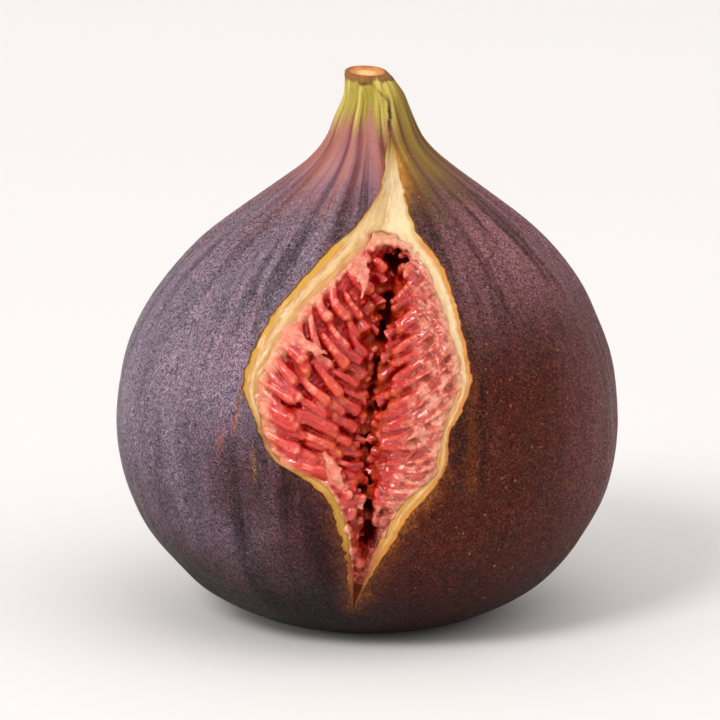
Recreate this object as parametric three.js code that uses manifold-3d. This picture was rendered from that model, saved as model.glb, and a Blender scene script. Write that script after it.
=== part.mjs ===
// A ripe fresh fig that has burst open down its front.
// The fruit and the red pulp behind its split skin are the two nodes.
// Millimetres, +Z up. The origin is on the surface that the fig stands on, under the middle of its body.
// The split faces -Y. Heights are measured from the surface, and sideways places along +X.

import * as THREE from "three";
import { mergeVertices } from "three/addons/utils/BufferGeometryUtils.js";
import Module from "manifold-3d";

// Driving dimensions of the fruit
const BODY_WIDTH = 50;
const DEPTH_SHARE = 0.97; // front-to-back size as a share of the width
const STALK_TOP = 54.6;
const REST_RADIUS = 8; // the flat spot under the fruit
const EYE_RADIUS = 2.2; // the closed eye in the middle of that spot
const EYE_DEPTH = 0.9;
const CUT_RIM_RADIUS = 1.95; // the stalk's cut end, inside its rounded rim
const CUT_HEART_RADIUS = 1.6;
const CUT_SINK = 0.25; // how far the heart of the cut lies below the rim
const CUT_TILT_BACK = 7; // degrees, so that the cut end looks a little to the front
const CUT_TILT_SIDE = 3; // degrees, lower on the right
const NECK_START = 52; // the tilt comes in above this height

// [height, radius as a share of half the width, lean to the right]
const PROFILE = [
  [0.0, 0.32, 0.2],
  [0.4, 0.41, 0.2],
  [1.2, 0.505, 0.2],
  [3.0, 0.64, 0.25],
  [6.0, 0.786, 0.3],
  [10.0, 0.9, 0.15],
  [15.0, 0.978, 0.05],
  [20.0, 1.0, 0.0],
  [25.0, 0.981, 0.0],
  [30.0, 0.912, 0.1],
  [34.0, 0.816, 0.4],
  [37.5, 0.696, 0.7],
  [40.5, 0.552, 1.0],
  [43.0, 0.41, 1.1],
  [45.0, 0.3, 1.1],
  [46.6, 0.23, 0.95],
  [48.2, 0.182, 0.8],
  [50.0, 0.15, 0.75],
  [52.0, 0.118, 0.8],
  [53.6, 0.1, 0.4],
  [STALK_TOP, 0.09, 0.0],
];

// Two waves of meridian ribs, [ribs round the fruit, share of the depth, start in radians]
const RIB_WAVES = [
  [11, 0.62, 0.5],
  [17, 0.38, -0.9],
];
const RIB_DEPTH = [
  [0, 0],
  [6, 0.06],
  [20, 0.1],
  [32, 0.2],
  [38, 0.32],
  [44, 0.32],
  [48, 0.2],
  [STALK_TOP, 0.06],
];

// Creases pressed into the skin: degrees round from the front, heights, depth and half width in degrees
const FOLDS = [
  { turn: -30.5, low: 9, high: 25, depth: 0.7, spread: 3 },
  { turn: 25, low: 18, high: 29, depth: 0.45, spread: 2.5 },
  { turn: 23, low: 47, high: 53.5, depth: 0.5, spread: 9 },
];

// The split: the edges of the torn skin, [height, place sideways]
const SPLIT_LOW = 5;
const SPLIT_HIGH = 49;
const SPLIT_LEFT = [
  [SPLIT_LOW, -1.35],
  [8.2, -1.7],
  [13.4, -2.5],
  [16.4, -3.45],
  [18.0, -4.2],
  [19.5, -6.6],
  [21.0, -9.0],
  [23.9, -10.4],
  [27.8, -11.8],
  [30.7, -10.8],
  [33.7, -9.2],
  [36.8, -6.4],
  [39.2, -4.0],
  [42.0, -0.5],
  [44.6, 1.3],
  [SPLIT_HIGH, 2.25],
];
const SPLIT_RIGHT = [
  [SPLIT_LOW, -1.25],
  [8.3, 0.0],
  [11.4, 1.65],
  [13.3, 2.8],
  [15.4, 4.0],
  [18.2, 6.4],
  [20.7, 7.7],
  [23.2, 7.8],
  [25.6, 9.2],
  [28.3, 9.9],
  [31.2, 9.3],
  [36.9, 7.8],
  [39.2, 6.45],
  [41.1, 4.7],
  [45.5, 3.25],
  [SPLIT_HIGH, 2.35],
];

// The pulp shown in the split: its edges against the cream rind, and the crease between its two banks
const PULP_LOW = 8;
const PULP_HIGH = 40.2;
const ARCH_HEIGHT = 1.6; // over this height the hollow's top turns into the V of bare rind above it
const PULP_LEFT = [
  [PULP_LOW, -1.25],
  [13.4, -1.7],
  [16.4, -2.6],
  [18.3, -3.6],
  [19.6, -6.0],
  [20.8, -8.3],
  [22.5, -9.5],
  [27.1, -10.25],
  [30.1, -8.9],
  [34.5, -5.75],
  [37.4, -2.6],
  [PULP_HIGH, 0.6],
];
const PULP_RIGHT = [
  [PULP_LOW, -0.4],
  [10.2, 0.3],
  [13.3, 1.6],
  [16.9, 3.5],
  [19.7, 6.5],
  [22.0, 6.9],
  [24.4, 7.4],
  [28.0, 8.85],
  [33.0, 7.6],
  [37.9, 5.6],
  [PULP_HIGH, 2.9],
];
const CREASE = [
  [PULP_LOW, -0.9],
  [12.7, 0.0],
  [21.7, 0.05],
  [26.2, 0.55],
  [31.2, 1.3],
  [37.2, 2.4],
  [PULP_HIGH, 2.2],
];

// Depths under the skin: the floor of the hollow behind the split, and the crease of the pulp
const HOLLOW_DEPTH = [
  [SPLIT_LOW, 0.4],
  [8, 2.6],
  [13, 6.2],
  [17, 8.5],
  [22, 10.5],
  [28, 11.5],
  [34, 11.0],
  [38, 9.0],
  [40, 3.9],
  [41, 2.0],
  [44, 1.7],
  [47, 0.9],
  [SPLIT_HIGH, 0.35],
];
const CREASE_DEPTH = [
  [PULP_LOW, 0.6],
  [10, 1.6],
  [13, 3.2],
  [17, 4.6],
  [22, 6.0],
  [28, 6.6],
  [34, 6.4],
  [38, 4.4],
  [PULP_HIGH, 1.5],
];
const SKIN_THICKNESS = 0.15;
const RIND_DEPTH = 0.9; // where the torn rind ends and the pulp starts
const FLOOR_SHARE = 0.6; // how deep the hollow is halfway up its sides, as a share of its depth
const BANK_POWER = 1.5; // how sharply a bank of pulp turns down into the crease
const GAP = 0.3; // between the fruit and the pulp
const WELD = 0.001; // points closer than this are one

// Where the hollow heart of the fig shows between the banks: sideways place, height, half width and half height
const HEART_HOLES = [
  { across: 3.2, height: 37.8, wide: 1.4, tall: 1.5, deep: 3.0 },
  { across: 0.3, height: 12.9, wide: 1.1, tall: 1.7, deep: 2.2 },
];

// Florets, drawn larger than life
const FLORET_SEED = 11;
const FLORET_LENGTH = 4.3;
const FLORET_RADIUS = 0.82;
const FLORET_PITCH_UP = 1.7;
const FLORET_PITCH_ACROSS = 2.5;
const FLORET_LIFT = 0.6; // how far a tip stands out of the bank
const FLORET_ROOT_SINK = 0.3; // how far a root is buried
const FLORET_LOW = 10.5;
const FLORET_HIGH = 40;
const FLORET_STAGGER = 0.35; // how far every second row is moved towards the crease, in florets
const FLORET_SIDES = 6;
const FLORET_RINGS = [
  [0.12, 0.6],
  [0.55, 1.0],
  [0.88, 0.8],
]; // [share of the length, share of the radius]
const FLORET_FALL = [
  [FLORET_LOW, -8],
  [18, 8],
  [24, 22],
  [30, 34],
  [FLORET_HIGH, 48],
]; // degrees that a floret points down, by height

// Fineness of the meshes
const SKIN_SIDES = 84;
const SKIN_RINGS = 36;
const SPLIT_RINGS = 36;

const PURPLE = 0x4a2f3e;
const RED = 0xb8383b;

const wasm = await Module();
wasm.setup();

// A smooth curve through [place, value] pairs, in rising order of place, that never overshoots them.
function curveThrough(pairs) {
  const places = pairs.map(([place]) => place);
  const values = pairs.map(([, value]) => value);
  const last = places.length - 1;
  const steps = places.slice(1).map((place, i) => place - places[i]);
  const rises = steps.map((step, i) => (values[i + 1] - values[i]) / step);
  const slopes = values.map((_, i) => {
    if (i === 0) return rises[0];
    if (i === last) return rises[last - 1];
    if (rises[i - 1] * rises[i] <= 0) return 0;
    return (2 * rises[i - 1] * rises[i]) / (rises[i - 1] + rises[i]);
  });
  return (place) => {
    const at = THREE.MathUtils.clamp(place, places[0], places[last]);
    let i = 0;
    while (i < last - 1 && at > places[i + 1]) i += 1;
    const t = (at - places[i]) / steps[i];
    const start = values[i] * (1 + 2 * t) * (1 - t) ** 2 + slopes[i] * steps[i] * t * (1 - t) ** 2;
    const end = values[i + 1] * t * t * (3 - 2 * t) + slopes[i + 1] * steps[i] * t * t * (t - 1);
    return start + end;
  };
}

const radiusAt = curveThrough(PROFILE.map(([height, share]) => [height, (share * BODY_WIDTH) / 2]));
const leanAt = curveThrough(PROFILE.map(([height, , lean]) => [height, lean]));
const ribDepthAt = curveThrough(RIB_DEPTH);
const splitLeftAt = curveThrough(SPLIT_LEFT);
const splitRightAt = curveThrough(SPLIT_RIGHT);
const pulpLeftAt = curveThrough(PULP_LEFT);
const pulpRightAt = curveThrough(PULP_RIGHT);
const creaseAt = curveThrough(CREASE);
const hollowDepthAt = curveThrough(HOLLOW_DEPTH);
const creaseDepthAt = curveThrough(CREASE_DEPTH);
const fallAt = curveThrough(FLORET_FALL);

// Random numbers from 0 to 1, the same in every run.
function seededRandom(seed) {
  let state = seed;
  return () => {
    state = (state * 1103515245 + 12345) % 2147483648;
    return state / 2147483648;
  };
}

// How far the ribs and folds move the skin in or out, round the fruit from the front towards +X.
function relief(turn, height) {
  const waves = RIB_WAVES.map(([count, share, start]) => share * Math.cos(count * turn + start));
  const ribs = ribDepthAt(height) * waves.reduce((sum, wave) => sum + wave, 0);
  const folds = FOLDS.map((fold) => {
    const middle = (fold.low + fold.high) / 2;
    const along = (height - middle) / (fold.high - middle);
    const offset = THREE.MathUtils.radToDeg(Math.atan2(Math.sin(turn - THREE.MathUtils.degToRad(fold.turn)),
      Math.cos(turn - THREE.MathUtils.degToRad(fold.turn))));
    return -fold.depth * Math.exp(-((offset / fold.spread) ** 2)) * Math.max(0, 1 - along * along);
  });
  return ribs + folds.reduce((sum, fold) => sum + fold, 0);
}

// A point of the fruit's surface, or of a smaller ring at the same height.
function fruitPoint(turn, height, radius) {
  const across = radius * Math.sin(turn);
  const back = -radius * DEPTH_SHARE * Math.cos(turn);
  const share = THREE.MathUtils.clamp((height - NECK_START) / (STALK_TOP - NECK_START), 0, 1);
  const tilt =
    Math.tan(THREE.MathUtils.degToRad(CUT_TILT_BACK)) * back -
    Math.tan(THREE.MathUtils.degToRad(CUT_TILT_SIDE)) * across;
  return new THREE.Vector3(leanAt(height) + across, back, height + share * tilt);
}

// Where the unribbed skin lies, front to back, at a place sideways and a height.
function skinFront(across, height) {
  const radius = radiusAt(height);
  const share = THREE.MathUtils.clamp((across - leanAt(height)) / radius, -0.98, 0.98);
  return -radius * DEPTH_SHARE * Math.sqrt(1 - share * share);
}

// Heights that divide the fruit's side into stretches of equal length.
function evenHeights(count) {
  const fine = Array.from({ length: 401 }, (_, i) => (STALK_TOP * i) / 400);
  const walked = [0];
  for (let i = 1; i < fine.length; i += 1) {
    walked.push(walked[i - 1] + Math.hypot(fine[i] - fine[i - 1], radiusAt(fine[i]) - radiusAt(fine[i - 1])));
  }
  const whole = walked[walked.length - 1];
  return Array.from({ length: count }, (_, i) => {
    const wanted = (whole * i) / (count - 1);
    const next = Math.max(1, walked.findIndex((length) => length >= wanted - 1e-9));
    const share = (wanted - walked[next - 1]) / (walked[next] - walked[next - 1]);
    return THREE.MathUtils.lerp(fine[next - 1], fine[next], share);
  });
}

// A closed mesh from a stack of rings, anticlockwise seen from the last one, that ends in a point each way.
function stackRings(rings, firstPoint, lastPoint) {
  const sides = rings[0].length;
  const points = [...rings.flat(), firstPoint, lastPoint];
  const first = points.length - 2;
  const last = points.length - 1;
  const lastRing = (rings.length - 1) * sides;
  const faces = [];
  for (let side = 0; side < sides; side += 1) {
    const next = (side + 1) % sides;
    faces.push(first, next, side);
    faces.push(last, lastRing + side, lastRing + next);
    for (let ring = 0; ring < rings.length - 1; ring += 1) {
      const low = ring * sides;
      const high = low + sides;
      faces.push(low + side, low + next, high + next);
      faces.push(low + side, high + next, high + side);
    }
  }
  const geometry = new THREE.BufferGeometry().setFromPoints(points);
  geometry.setIndex(faces);
  return geometry;
}

function middleOf(points) {
  return points.reduce((sum, point) => sum.add(point), new THREE.Vector3()).divideScalar(points.length);
}

// A closed three.js mesh as a solid for joins and cuts.
function solidOf(geometry) {
  const bare = new THREE.BufferGeometry().setAttribute("position", geometry.getAttribute("position").clone());
  bare.setIndex(geometry.index ? geometry.index.clone() : null);
  const merged = mergeVertices(bare, WELD);
  return new wasm.Manifold(
    new wasm.Mesh({
      numProp: 3,
      vertProperties: new Float32Array(merged.attributes.position.array),
      triVerts: new Uint32Array(merged.index.array),
    }),
  );
}

// The largest body of a solid, with any hollow that joining sealed filled and loose scraps dropped.
function mainBody(solid) {
  return solid.decompose().reduce((best, body) => (body.volume() > best.volume() ? body : best));
}

function geometryOf(solid) {
  const { vertProperties, triVerts } = solid.getMesh();
  const geometry = new THREE.BufferGeometry();
  geometry.setAttribute("position", new THREE.BufferAttribute(vertProperties, 3));
  geometry.setIndex(new THREE.BufferAttribute(triVerts, 1));
  return geometry;
}

function meshOf(name, solid, colour, roughness) {
  const geometry = geometryOf(mainBody(solidOf(geometryOf(solid))));
  geometry.computeVertexNormals();
  const material = new THREE.MeshStandardMaterial({ color: colour, roughness, metalness: 0 });
  const mesh = new THREE.Mesh(geometry, material);
  mesh.name = name;
  return mesh;
}

// The whole fruit before it bursts: eye, flat spot, ribbed skin, neck and the stalk's cut end.
function wholeFruit() {
  const turns = Array.from({ length: SKIN_SIDES }, (_, i) => (2 * Math.PI * i) / SKIN_SIDES);
  const plainRing = (height, radius) => turns.map((turn) => fruitPoint(turn, height, radius));
  const skinRing = (height) => turns.map((turn) => fruitPoint(turn, height, radiusAt(height) + relief(turn, height)));
  const skin = evenHeights(SKIN_RINGS).slice(1).map(skinRing);
  const rings = [
    plainRing(0, EYE_RADIUS),
    plainRing(0, REST_RADIUS),
    ...skin,
    plainRing(STALK_TOP + 0.1, CUT_RIM_RADIUS),
    plainRing(STALK_TOP + 0.1 - CUT_SINK, CUT_HEART_RADIUS),
  ];
  const eyeFloor = new THREE.Vector3(leanAt(0), 0, EYE_DEPTH);
  return solidOf(stackRings(rings, eyeFloor, middleOf(rings[rings.length - 1])));
}

// The room behind the split, narrowed all round by an inset. It runs out through the skin to the front.
function splitRoom(inset) {
  const clear = 4;
  const rings = Array.from({ length: SPLIT_RINGS }, (_, i) => {
    const height = THREE.MathUtils.lerp(SPLIT_LOW + inset, SPLIT_HIGH - inset, i / (SPLIT_RINGS - 1));
    const left = splitLeftAt(height);
    const right = splitRightAt(height);
    const past = Math.max(height - PULP_HIGH, PULP_LOW - height) / ARCH_HEIGHT;
    const bare = THREE.MathUtils.smoothstep(past, 0, 1);
    const middle = THREE.MathUtils.lerp(creaseAt(height), (left + right) / 2, bare);
    const innerLeft = THREE.MathUtils.lerp(pulpLeftAt(height), (left + middle) / 2, bare);
    const innerRight = THREE.MathUtils.lerp(pulpRightAt(height), (right + middle) / 2, bare);
    const floor = hollowDepthAt(height);
    const rind = Math.min(RIND_DEPTH, floor * 0.5);
    const place = (across, depth) => {
      const narrowed = across + inset * Math.sign(middle - across);
      return new THREE.Vector3(narrowed, skinFront(across, height) + depth - inset * (depth > 0 ? 1 : 0), height);
    };
    return [
      place(left, -clear / 2),
      place(middle, -clear),
      place(right, -clear / 2),
      place(right, SKIN_THICKNESS),
      place(innerRight, rind),
      place((innerRight + middle) / 2, Math.max(rind, floor * FLOOR_SHARE)),
      place(middle, floor),
      place((innerLeft + middle) / 2, Math.max(rind, floor * FLOOR_SHARE)),
      place(innerLeft, rind),
      place(left, SKIN_THICKNESS),
    ];
  });
  return solidOf(stackRings(rings, middleOf(rings[0]), middleOf(rings[rings.length - 1])));
}

// A point of a bank of pulp. Share is 0 at the crease and 1 at the rind, on the side of +X or -X.
function bankPoint(side, share, height, lift) {
  const edge = side > 0 ? pulpRightAt(height) : pulpLeftAt(height);
  const across = THREE.MathUtils.lerp(creaseAt(height), edge, share);
  const depth = THREE.MathUtils.lerp(RIND_DEPTH, creaseDepthAt(height), Math.abs(1 - share) ** BANK_POWER);
  return new THREE.Vector3(across, skinFront(across, height) + depth - lift, height);
}

// The pulp's body under its florets: two banks that fall to the crease, and a back beyond the hollow's floor.
function pulpBanks() {
  const shares = [1.25, 1, 0.65, 0.35, 0.12];
  const back = 3;
  const rings = Array.from({ length: SPLIT_RINGS }, (_, i) => {
    const height = THREE.MathUtils.lerp(PULP_LOW, PULP_HIGH, i / (SPLIT_RINGS - 1));
    const left = shares.map((share) => bankPoint(-1, share, height, 0));
    const right = shares.map((share) => bankPoint(1, share, height, 0)).reverse();
    const floor = skinFront(creaseAt(height), height) + hollowDepthAt(height) + back;
    const corners = [right[right.length - 1], left[0]].map((edge) => new THREE.Vector3(edge.x, floor, height));
    return [...left, bankPoint(1, 0, height, 0), ...right, ...corners];
  });
  return solidOf(stackRings(rings, middleOf(rings[0]), middleOf(rings[rings.length - 1])));
}

function heartHole(hole) {
  const ball = new THREE.SphereGeometry(1, 12, 8);
  ball.scale(hole.wide, hole.deep, hole.tall);
  ball.translate(hole.across, skinFront(hole.across, hole.height) + creaseDepthAt(hole.height), hole.height);
  return solidOf(ball);
}

// One floret: a slim drop from its buried root to its rounded tip.
function floret(root, tip, radius) {
  const along = tip.clone().sub(root);
  const turnTo = new THREE.Quaternion().setFromUnitVectors(new THREE.Vector3(0, 0, 1), along.clone().normalize());
  const rings = FLORET_RINGS.map(([share, size]) =>
    Array.from({ length: FLORET_SIDES }, (_, i) => {
      const angle = (2 * Math.PI * i) / FLORET_SIDES;
      const spoke = new THREE.Vector3(Math.cos(angle), Math.sin(angle), 0).multiplyScalar(radius * size);
      return spoke.applyQuaternion(turnTo).addScaledVector(along, share).add(root);
    }),
  );
  return solidOf(stackRings(rings, root, tip));
}

// The florets of one bank in staggered rows, each pointing down and in to the crease.
function bankOfFlorets(side, random) {
  const made = [];
  let row = 0;
  for (let height = FLORET_LOW; height < FLORET_HIGH; height += FLORET_PITCH_UP) {
    const edge = side > 0 ? pulpRightAt(height) : pulpLeftAt(height);
    const width = Math.abs(edge - creaseAt(height));
    const count = Math.max(1, Math.round(width / FLORET_PITCH_ACROSS));
    for (let i = 0; i < count; i += 1) {
      const stagger = (row % 2) * FLORET_STAGGER;
      const share = THREE.MathUtils.clamp((i + 1 - stagger - 0.2 * random()) / count, 0.2, 1);
      const length = FLORET_LENGTH * (0.8 + 0.35 * random());
      const fall = THREE.MathUtils.degToRad(fallAt(height) + 14 * (random() - 0.5));
      const rootHeight = height + 0.5 * (random() - 0.5);
      const root = bankPoint(side, share, rootHeight, -FLORET_ROOT_SINK);
      const tipShare = Math.max(0.06, share - (length * Math.cos(fall)) / Math.max(width, length));
      const tip = bankPoint(side, tipShare, rootHeight - length * Math.sin(fall), FLORET_LIFT);
      made.push(floret(root, tip, FLORET_RADIUS * (0.85 + 0.3 * random())));
    }
    row += 1;
  }
  return made;
}

function pulpWithFlorets() {
  const random = seededRandom(FLORET_SEED);
  const hollowed = HEART_HOLES.reduce((pulp, hole) => pulp.subtract(heartHole(hole)), pulpBanks());
  const florets = [...bankOfFlorets(-1, random), ...bankOfFlorets(1, random)];
  const covered = florets.reduce((pulp, one) => pulp.add(one), hollowed);
  return covered.intersect(splitRoom(GAP));
}

const fig = new THREE.Group();
fig.name = "fresh_fig";
fig.add(meshOf("fruit", wholeFruit().subtract(splitRoom(0)), PURPLE, 0.6));
fig.add(meshOf("florets", pulpWithFlorets(), RED, 0.3));

export default fig;
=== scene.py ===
"""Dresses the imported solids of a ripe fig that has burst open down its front.

The fruit gets its bloomed, ribbed skin, its torn cream rind and the cut end of its stalk. The pulp behind
the split gets its two wet banks, slim florets, seed ends and torn skins. Sizes are in millimetres until a
mesh or the camera is made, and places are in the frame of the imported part: +Z up, the split facing -Y.
"""

import logging
import math
from dataclasses import dataclass, field
from enum import Enum
from typing import Any, Callable, Sequence

import bmesh
import bpy
import numpy as np
from mathutils import Matrix, Vector
from mathutils.kdtree import KDTree


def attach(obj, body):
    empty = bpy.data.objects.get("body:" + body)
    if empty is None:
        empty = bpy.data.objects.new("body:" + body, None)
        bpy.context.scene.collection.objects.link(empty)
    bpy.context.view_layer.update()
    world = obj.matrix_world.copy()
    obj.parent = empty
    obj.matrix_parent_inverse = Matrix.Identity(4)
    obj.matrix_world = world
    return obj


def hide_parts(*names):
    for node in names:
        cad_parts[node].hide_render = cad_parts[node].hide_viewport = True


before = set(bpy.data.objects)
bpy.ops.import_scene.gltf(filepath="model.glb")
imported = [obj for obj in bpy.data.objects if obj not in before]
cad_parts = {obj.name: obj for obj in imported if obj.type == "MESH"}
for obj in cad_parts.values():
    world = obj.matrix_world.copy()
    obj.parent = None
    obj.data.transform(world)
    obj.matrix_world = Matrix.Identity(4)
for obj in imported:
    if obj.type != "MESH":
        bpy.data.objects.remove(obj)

MM = 0.001
WELD = 0.0005
BODY = "root"
LOG = logging.getLogger("fig")
Pairs = tuple[tuple[float, float], ...]
Colour = tuple[float, float, float]
Coat = tuple[Any, Any]
Faces = list[tuple[int, ...]]
Settings = dict[str, Any] | None
Inputs = dict[Any, Any] | None


def rgb(red: int, green: int, blue: int) -> Colour:
    """Turns a display colour into the linear one that shaders use.

    Args:
        red: Red from 0 to 255.
        green: Green from 0 to 255.
        blue: Blue from 0 to 255.

    Returns:
        The three linear values from 0 to 1.
    """
    shares = [value / 255 for value in (red, green, blue)]
    linear = [share / 12.92 if share <= 0.04045 else ((share + 0.055) / 1.055) ** 2.4 for share in shares]
    return (linear[0], linear[1], linear[2])


def smooth_step(low: float, high: float, value: np.ndarray) -> np.ndarray:
    """Rises smoothly from 0 at low to 1 at high."""
    share = np.clip((value - low) / (high - low), 0, 1)
    return share * share * (3 - 2 * share)


def between(start: Any, end: Any, share: Any) -> Any:
    """Goes from start to end by a share."""
    return start + (end - start) * share


@dataclass(frozen=True)
class SmoothCurve:
    """A curve through pairs of place and value, in rising order of place, that never overshoots them."""

    pairs: Pairs

    def __call__(self, at: Any) -> np.ndarray:
        """Reads the curve.

        Args:
            at: One place or an array of places.

        Returns:
            The values at those places, held level past both ends.
        """
        places, values = np.array(self.pairs, float).T
        steps = np.diff(places)
        rises = np.diff(values) / steps
        slopes = np.zeros_like(values)
        slopes[0], slopes[-1] = rises[0], rises[-1]
        before, after = rises[:-1], rises[1:]
        same_way = before * after > 0
        slopes[1:-1][same_way] = (2 * before * after)[same_way] / (before + after)[same_way]
        wanted = np.clip(np.asarray(at, float), places[0], places[-1])
        i = np.clip(np.searchsorted(places, wanted, side="right") - 1, 0, len(steps) - 1)
        t = (wanted - places[i]) / steps[i]
        start = values[i] * (1 + 2 * t) * (1 - t) ** 2 + slopes[i] * steps[i] * t * (1 - t) ** 2
        end = values[i + 1] * t * t * (3 - 2 * t) + slopes[i + 1] * steps[i] * t * t * (t - 1)
        return start + end


@dataclass(frozen=True)
class Ripples:
    """Smooth seeded unevenness in space, a sum of waves of about one size."""

    size: float
    seed: int
    waves: int = 28

    def __call__(self, points: np.ndarray) -> np.ndarray:
        """Reads the unevenness.

        Args:
            points: Places in millimetres, the last axis holding x, y and z.

        Returns:
            Values around 0, mostly from -1.5 to 1.5.
        """
        draw = np.random.default_rng(self.seed)
        ways = draw.normal(size=(self.waves, 3))
        ways /= np.linalg.norm(ways, axis=1)[:, None]
        ways *= (2 * math.pi / self.size) * draw.uniform(0.6, 1.7, self.waves)[:, None]
        starts = draw.uniform(0, 2 * math.pi, self.waves)
        total = np.zeros(points.shape[:-1])
        for way, start in zip(ways, starts):
            total += np.cos(points @ way + start)
        return total * math.sqrt(2 / self.waves)


@dataclass(frozen=True)
class Fold:
    """A crease pressed into the skin: its turn and half width in degrees, its heights and its depth."""

    turn: float
    low: float
    high: float
    depth: float
    spread: float


@dataclass(frozen=True)
class HeartHole:
    """A place where the fig's hollow heart shows between the banks of pulp."""

    across: float
    height: float
    wide: float
    tall: float
    deep: float


class Side(Enum):
    """The bank of pulp, or the edge of the split, that lies towards -X or towards +X."""

    LEFT = -1
    RIGHT = 1


@dataclass(frozen=True)
class FigForm:
    """The fig's driving sizes and the surfaces that follow from them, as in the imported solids."""

    body_width: float = 50
    depth_share: float = 0.97
    stalk_top: float = 54.6
    eye_radius: float = 2.2
    eye_depth: float = 0.9
    cut_heart_radius: float = 1.6
    cut_tilt_back: float = 7
    cut_tilt_side: float = 3
    neck_start: float = 52
    rounding: float = 2.6
    width_shares: Pairs = (
        (0.0, 0.32), (0.4, 0.41), (1.2, 0.505), (3.0, 0.64), (6.0, 0.786), (10.0, 0.9), (15.0, 0.978),
        (20.0, 1.0), (25.0, 0.981), (30.0, 0.912), (34.0, 0.816), (37.5, 0.696), (40.5, 0.552), (43.0, 0.41),
        (45.0, 0.3), (46.6, 0.23), (48.2, 0.182), (50.0, 0.15), (52.0, 0.118), (53.6, 0.1), (54.6, 0.09),
    )
    leans: Pairs = (
        (0.0, 0.2), (3.0, 0.25), (6.0, 0.3), (10.0, 0.15), (15.0, 0.05), (20.0, 0.0), (25.0, 0.0),
        (30.0, 0.1), (34.0, 0.4), (37.5, 0.7), (40.5, 1.0), (43.0, 1.1), (45.0, 1.1), (46.6, 0.95),
        (48.2, 0.8), (50.0, 0.75), (52.0, 0.8), (53.6, 0.4), (54.6, 0.0),
    )
    rib_waves: tuple[tuple[int, float, float], ...] = ((11, 0.62, 0.5), (17, 0.38, -0.9))
    rib_depths: Pairs = (
        (0, 0), (6, 0.06), (20, 0.1), (32, 0.2), (38, 0.32), (44, 0.32), (48, 0.2), (54.6, 0.06),
    )
    folds: tuple[Fold, ...] = (
        Fold(-30.5, 9, 25, 0.7, 3),
        Fold(25, 18, 29, 0.45, 2.5),
        Fold(23, 47, 53.5, 0.5, 9),
    )
    split_low: float = 5
    split_high: float = 49
    split_left: Pairs = (
        (5, -1.35), (8.2, -1.7), (13.4, -2.5), (16.4, -3.45), (18.0, -4.2), (19.5, -6.6), (21.0, -9.0),
        (23.9, -10.4), (27.8, -11.8), (30.7, -10.8), (33.7, -9.2), (36.8, -6.4), (39.2, -4.0), (42.0, -0.5),
        (44.6, 1.3), (49, 2.25),
    )
    split_right: Pairs = (
        (5, -1.25), (8.3, 0.0), (11.4, 1.65), (13.3, 2.8), (15.4, 4.0), (18.2, 6.4), (20.7, 7.7), (23.2, 7.8),
        (25.6, 9.2), (28.3, 9.9), (31.2, 9.3), (36.9, 7.8), (39.2, 6.45), (41.1, 4.7), (45.5, 3.25),
        (49, 2.35),
    )
    pulp_low: float = 8
    pulp_high: float = 40.2
    pulp_left: Pairs = (
        (8, -1.25), (13.4, -1.7), (16.4, -2.6), (18.3, -3.6), (19.6, -6.0), (20.8, -8.3), (22.5, -9.5),
        (27.1, -10.25), (30.1, -8.9), (34.5, -5.75), (37.4, -2.6), (40.2, 0.6),
    )
    pulp_right: Pairs = (
        (8, -0.4), (10.2, 0.3), (13.3, 1.6), (16.9, 3.5), (19.7, 6.5), (22.0, 6.9), (24.4, 7.4), (28.0, 8.85),
        (33.0, 7.6), (37.9, 5.6), (40.2, 2.9),
    )
    creases: Pairs = (
        (8, -0.9), (12.7, 0.0), (21.7, 0.05), (26.2, 0.55), (31.2, 1.3), (37.2, 2.4), (40.2, 2.2),
    )
    hollow_depths: Pairs = (
        (5, 0.4), (8, 2.6), (13, 6.2), (17, 8.5), (22, 10.5), (28, 11.5), (34, 11.0), (38, 9.0), (40, 3.9),
        (41, 2.0), (44, 1.7), (47, 0.9), (49, 0.35),
    )
    crease_depths: Pairs = (
        (8, 0.6), (10, 1.6), (13, 3.2), (17, 4.6), (22, 6.0), (28, 6.6), (34, 6.4), (38, 4.4), (40.2, 1.5),
    )
    arch_height: float = 1.6
    rind_depth: float = 0.9
    bank_power: float = 1.5
    heart_holes: tuple[HeartHole, ...] = (
        HeartHole(3.2, 37.8, 1.4, 1.5, 3.0),
        HeartHole(0.3, 12.9, 1.1, 1.7, 2.2),
    )

    def radius(self, height: Any) -> np.ndarray:
        """The fruit's half width at a height, with the corners between the given widths rounded off.

        Args:
            height: Heights over the surface that the fig stands on.

        Returns:
            Half widths.
        """
        height = np.asarray(height, float)
        reach = self.rounding * smooth_step(0.5, 7, height) * (1 - smooth_step(40, 50, height))
        curve = SmoothCurve(self.width_shares)
        shares = [curve(height + reach * step) for step in (-1, -0.5, 0, 0.5, 1)]
        return sum(shares) / len(shares) * self.body_width / 2

    def lean(self, height: Any) -> np.ndarray:
        """How far the fruit's middle lies to the right at a height."""
        return SmoothCurve(self.leans)(height)

    def relief(self, turn: np.ndarray, height: np.ndarray) -> np.ndarray:
        """How far ribs and folds move the skin in or out.

        Args:
            turn: Radians round the fruit from the front towards +X.
            height: Heights over the surface that the fig stands on.

        Returns:
            Millimetres outwards.
        """
        total = np.zeros(np.broadcast(turn, height).shape)
        for count, share, start in self.rib_waves:
            total += share * np.cos(count * turn + start)
        total *= SmoothCurve(self.rib_depths)(height)
        for fold in self.folds:
            middle = (fold.low + fold.high) / 2
            along = (height - middle) / (fold.high - middle)
            off = turn - math.radians(fold.turn)
            off = np.degrees(np.arctan2(np.sin(off), np.cos(off)))
            total -= fold.depth * np.exp(-((off / fold.spread) ** 2)) * np.maximum(0, 1 - along * along)
        return total

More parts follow.
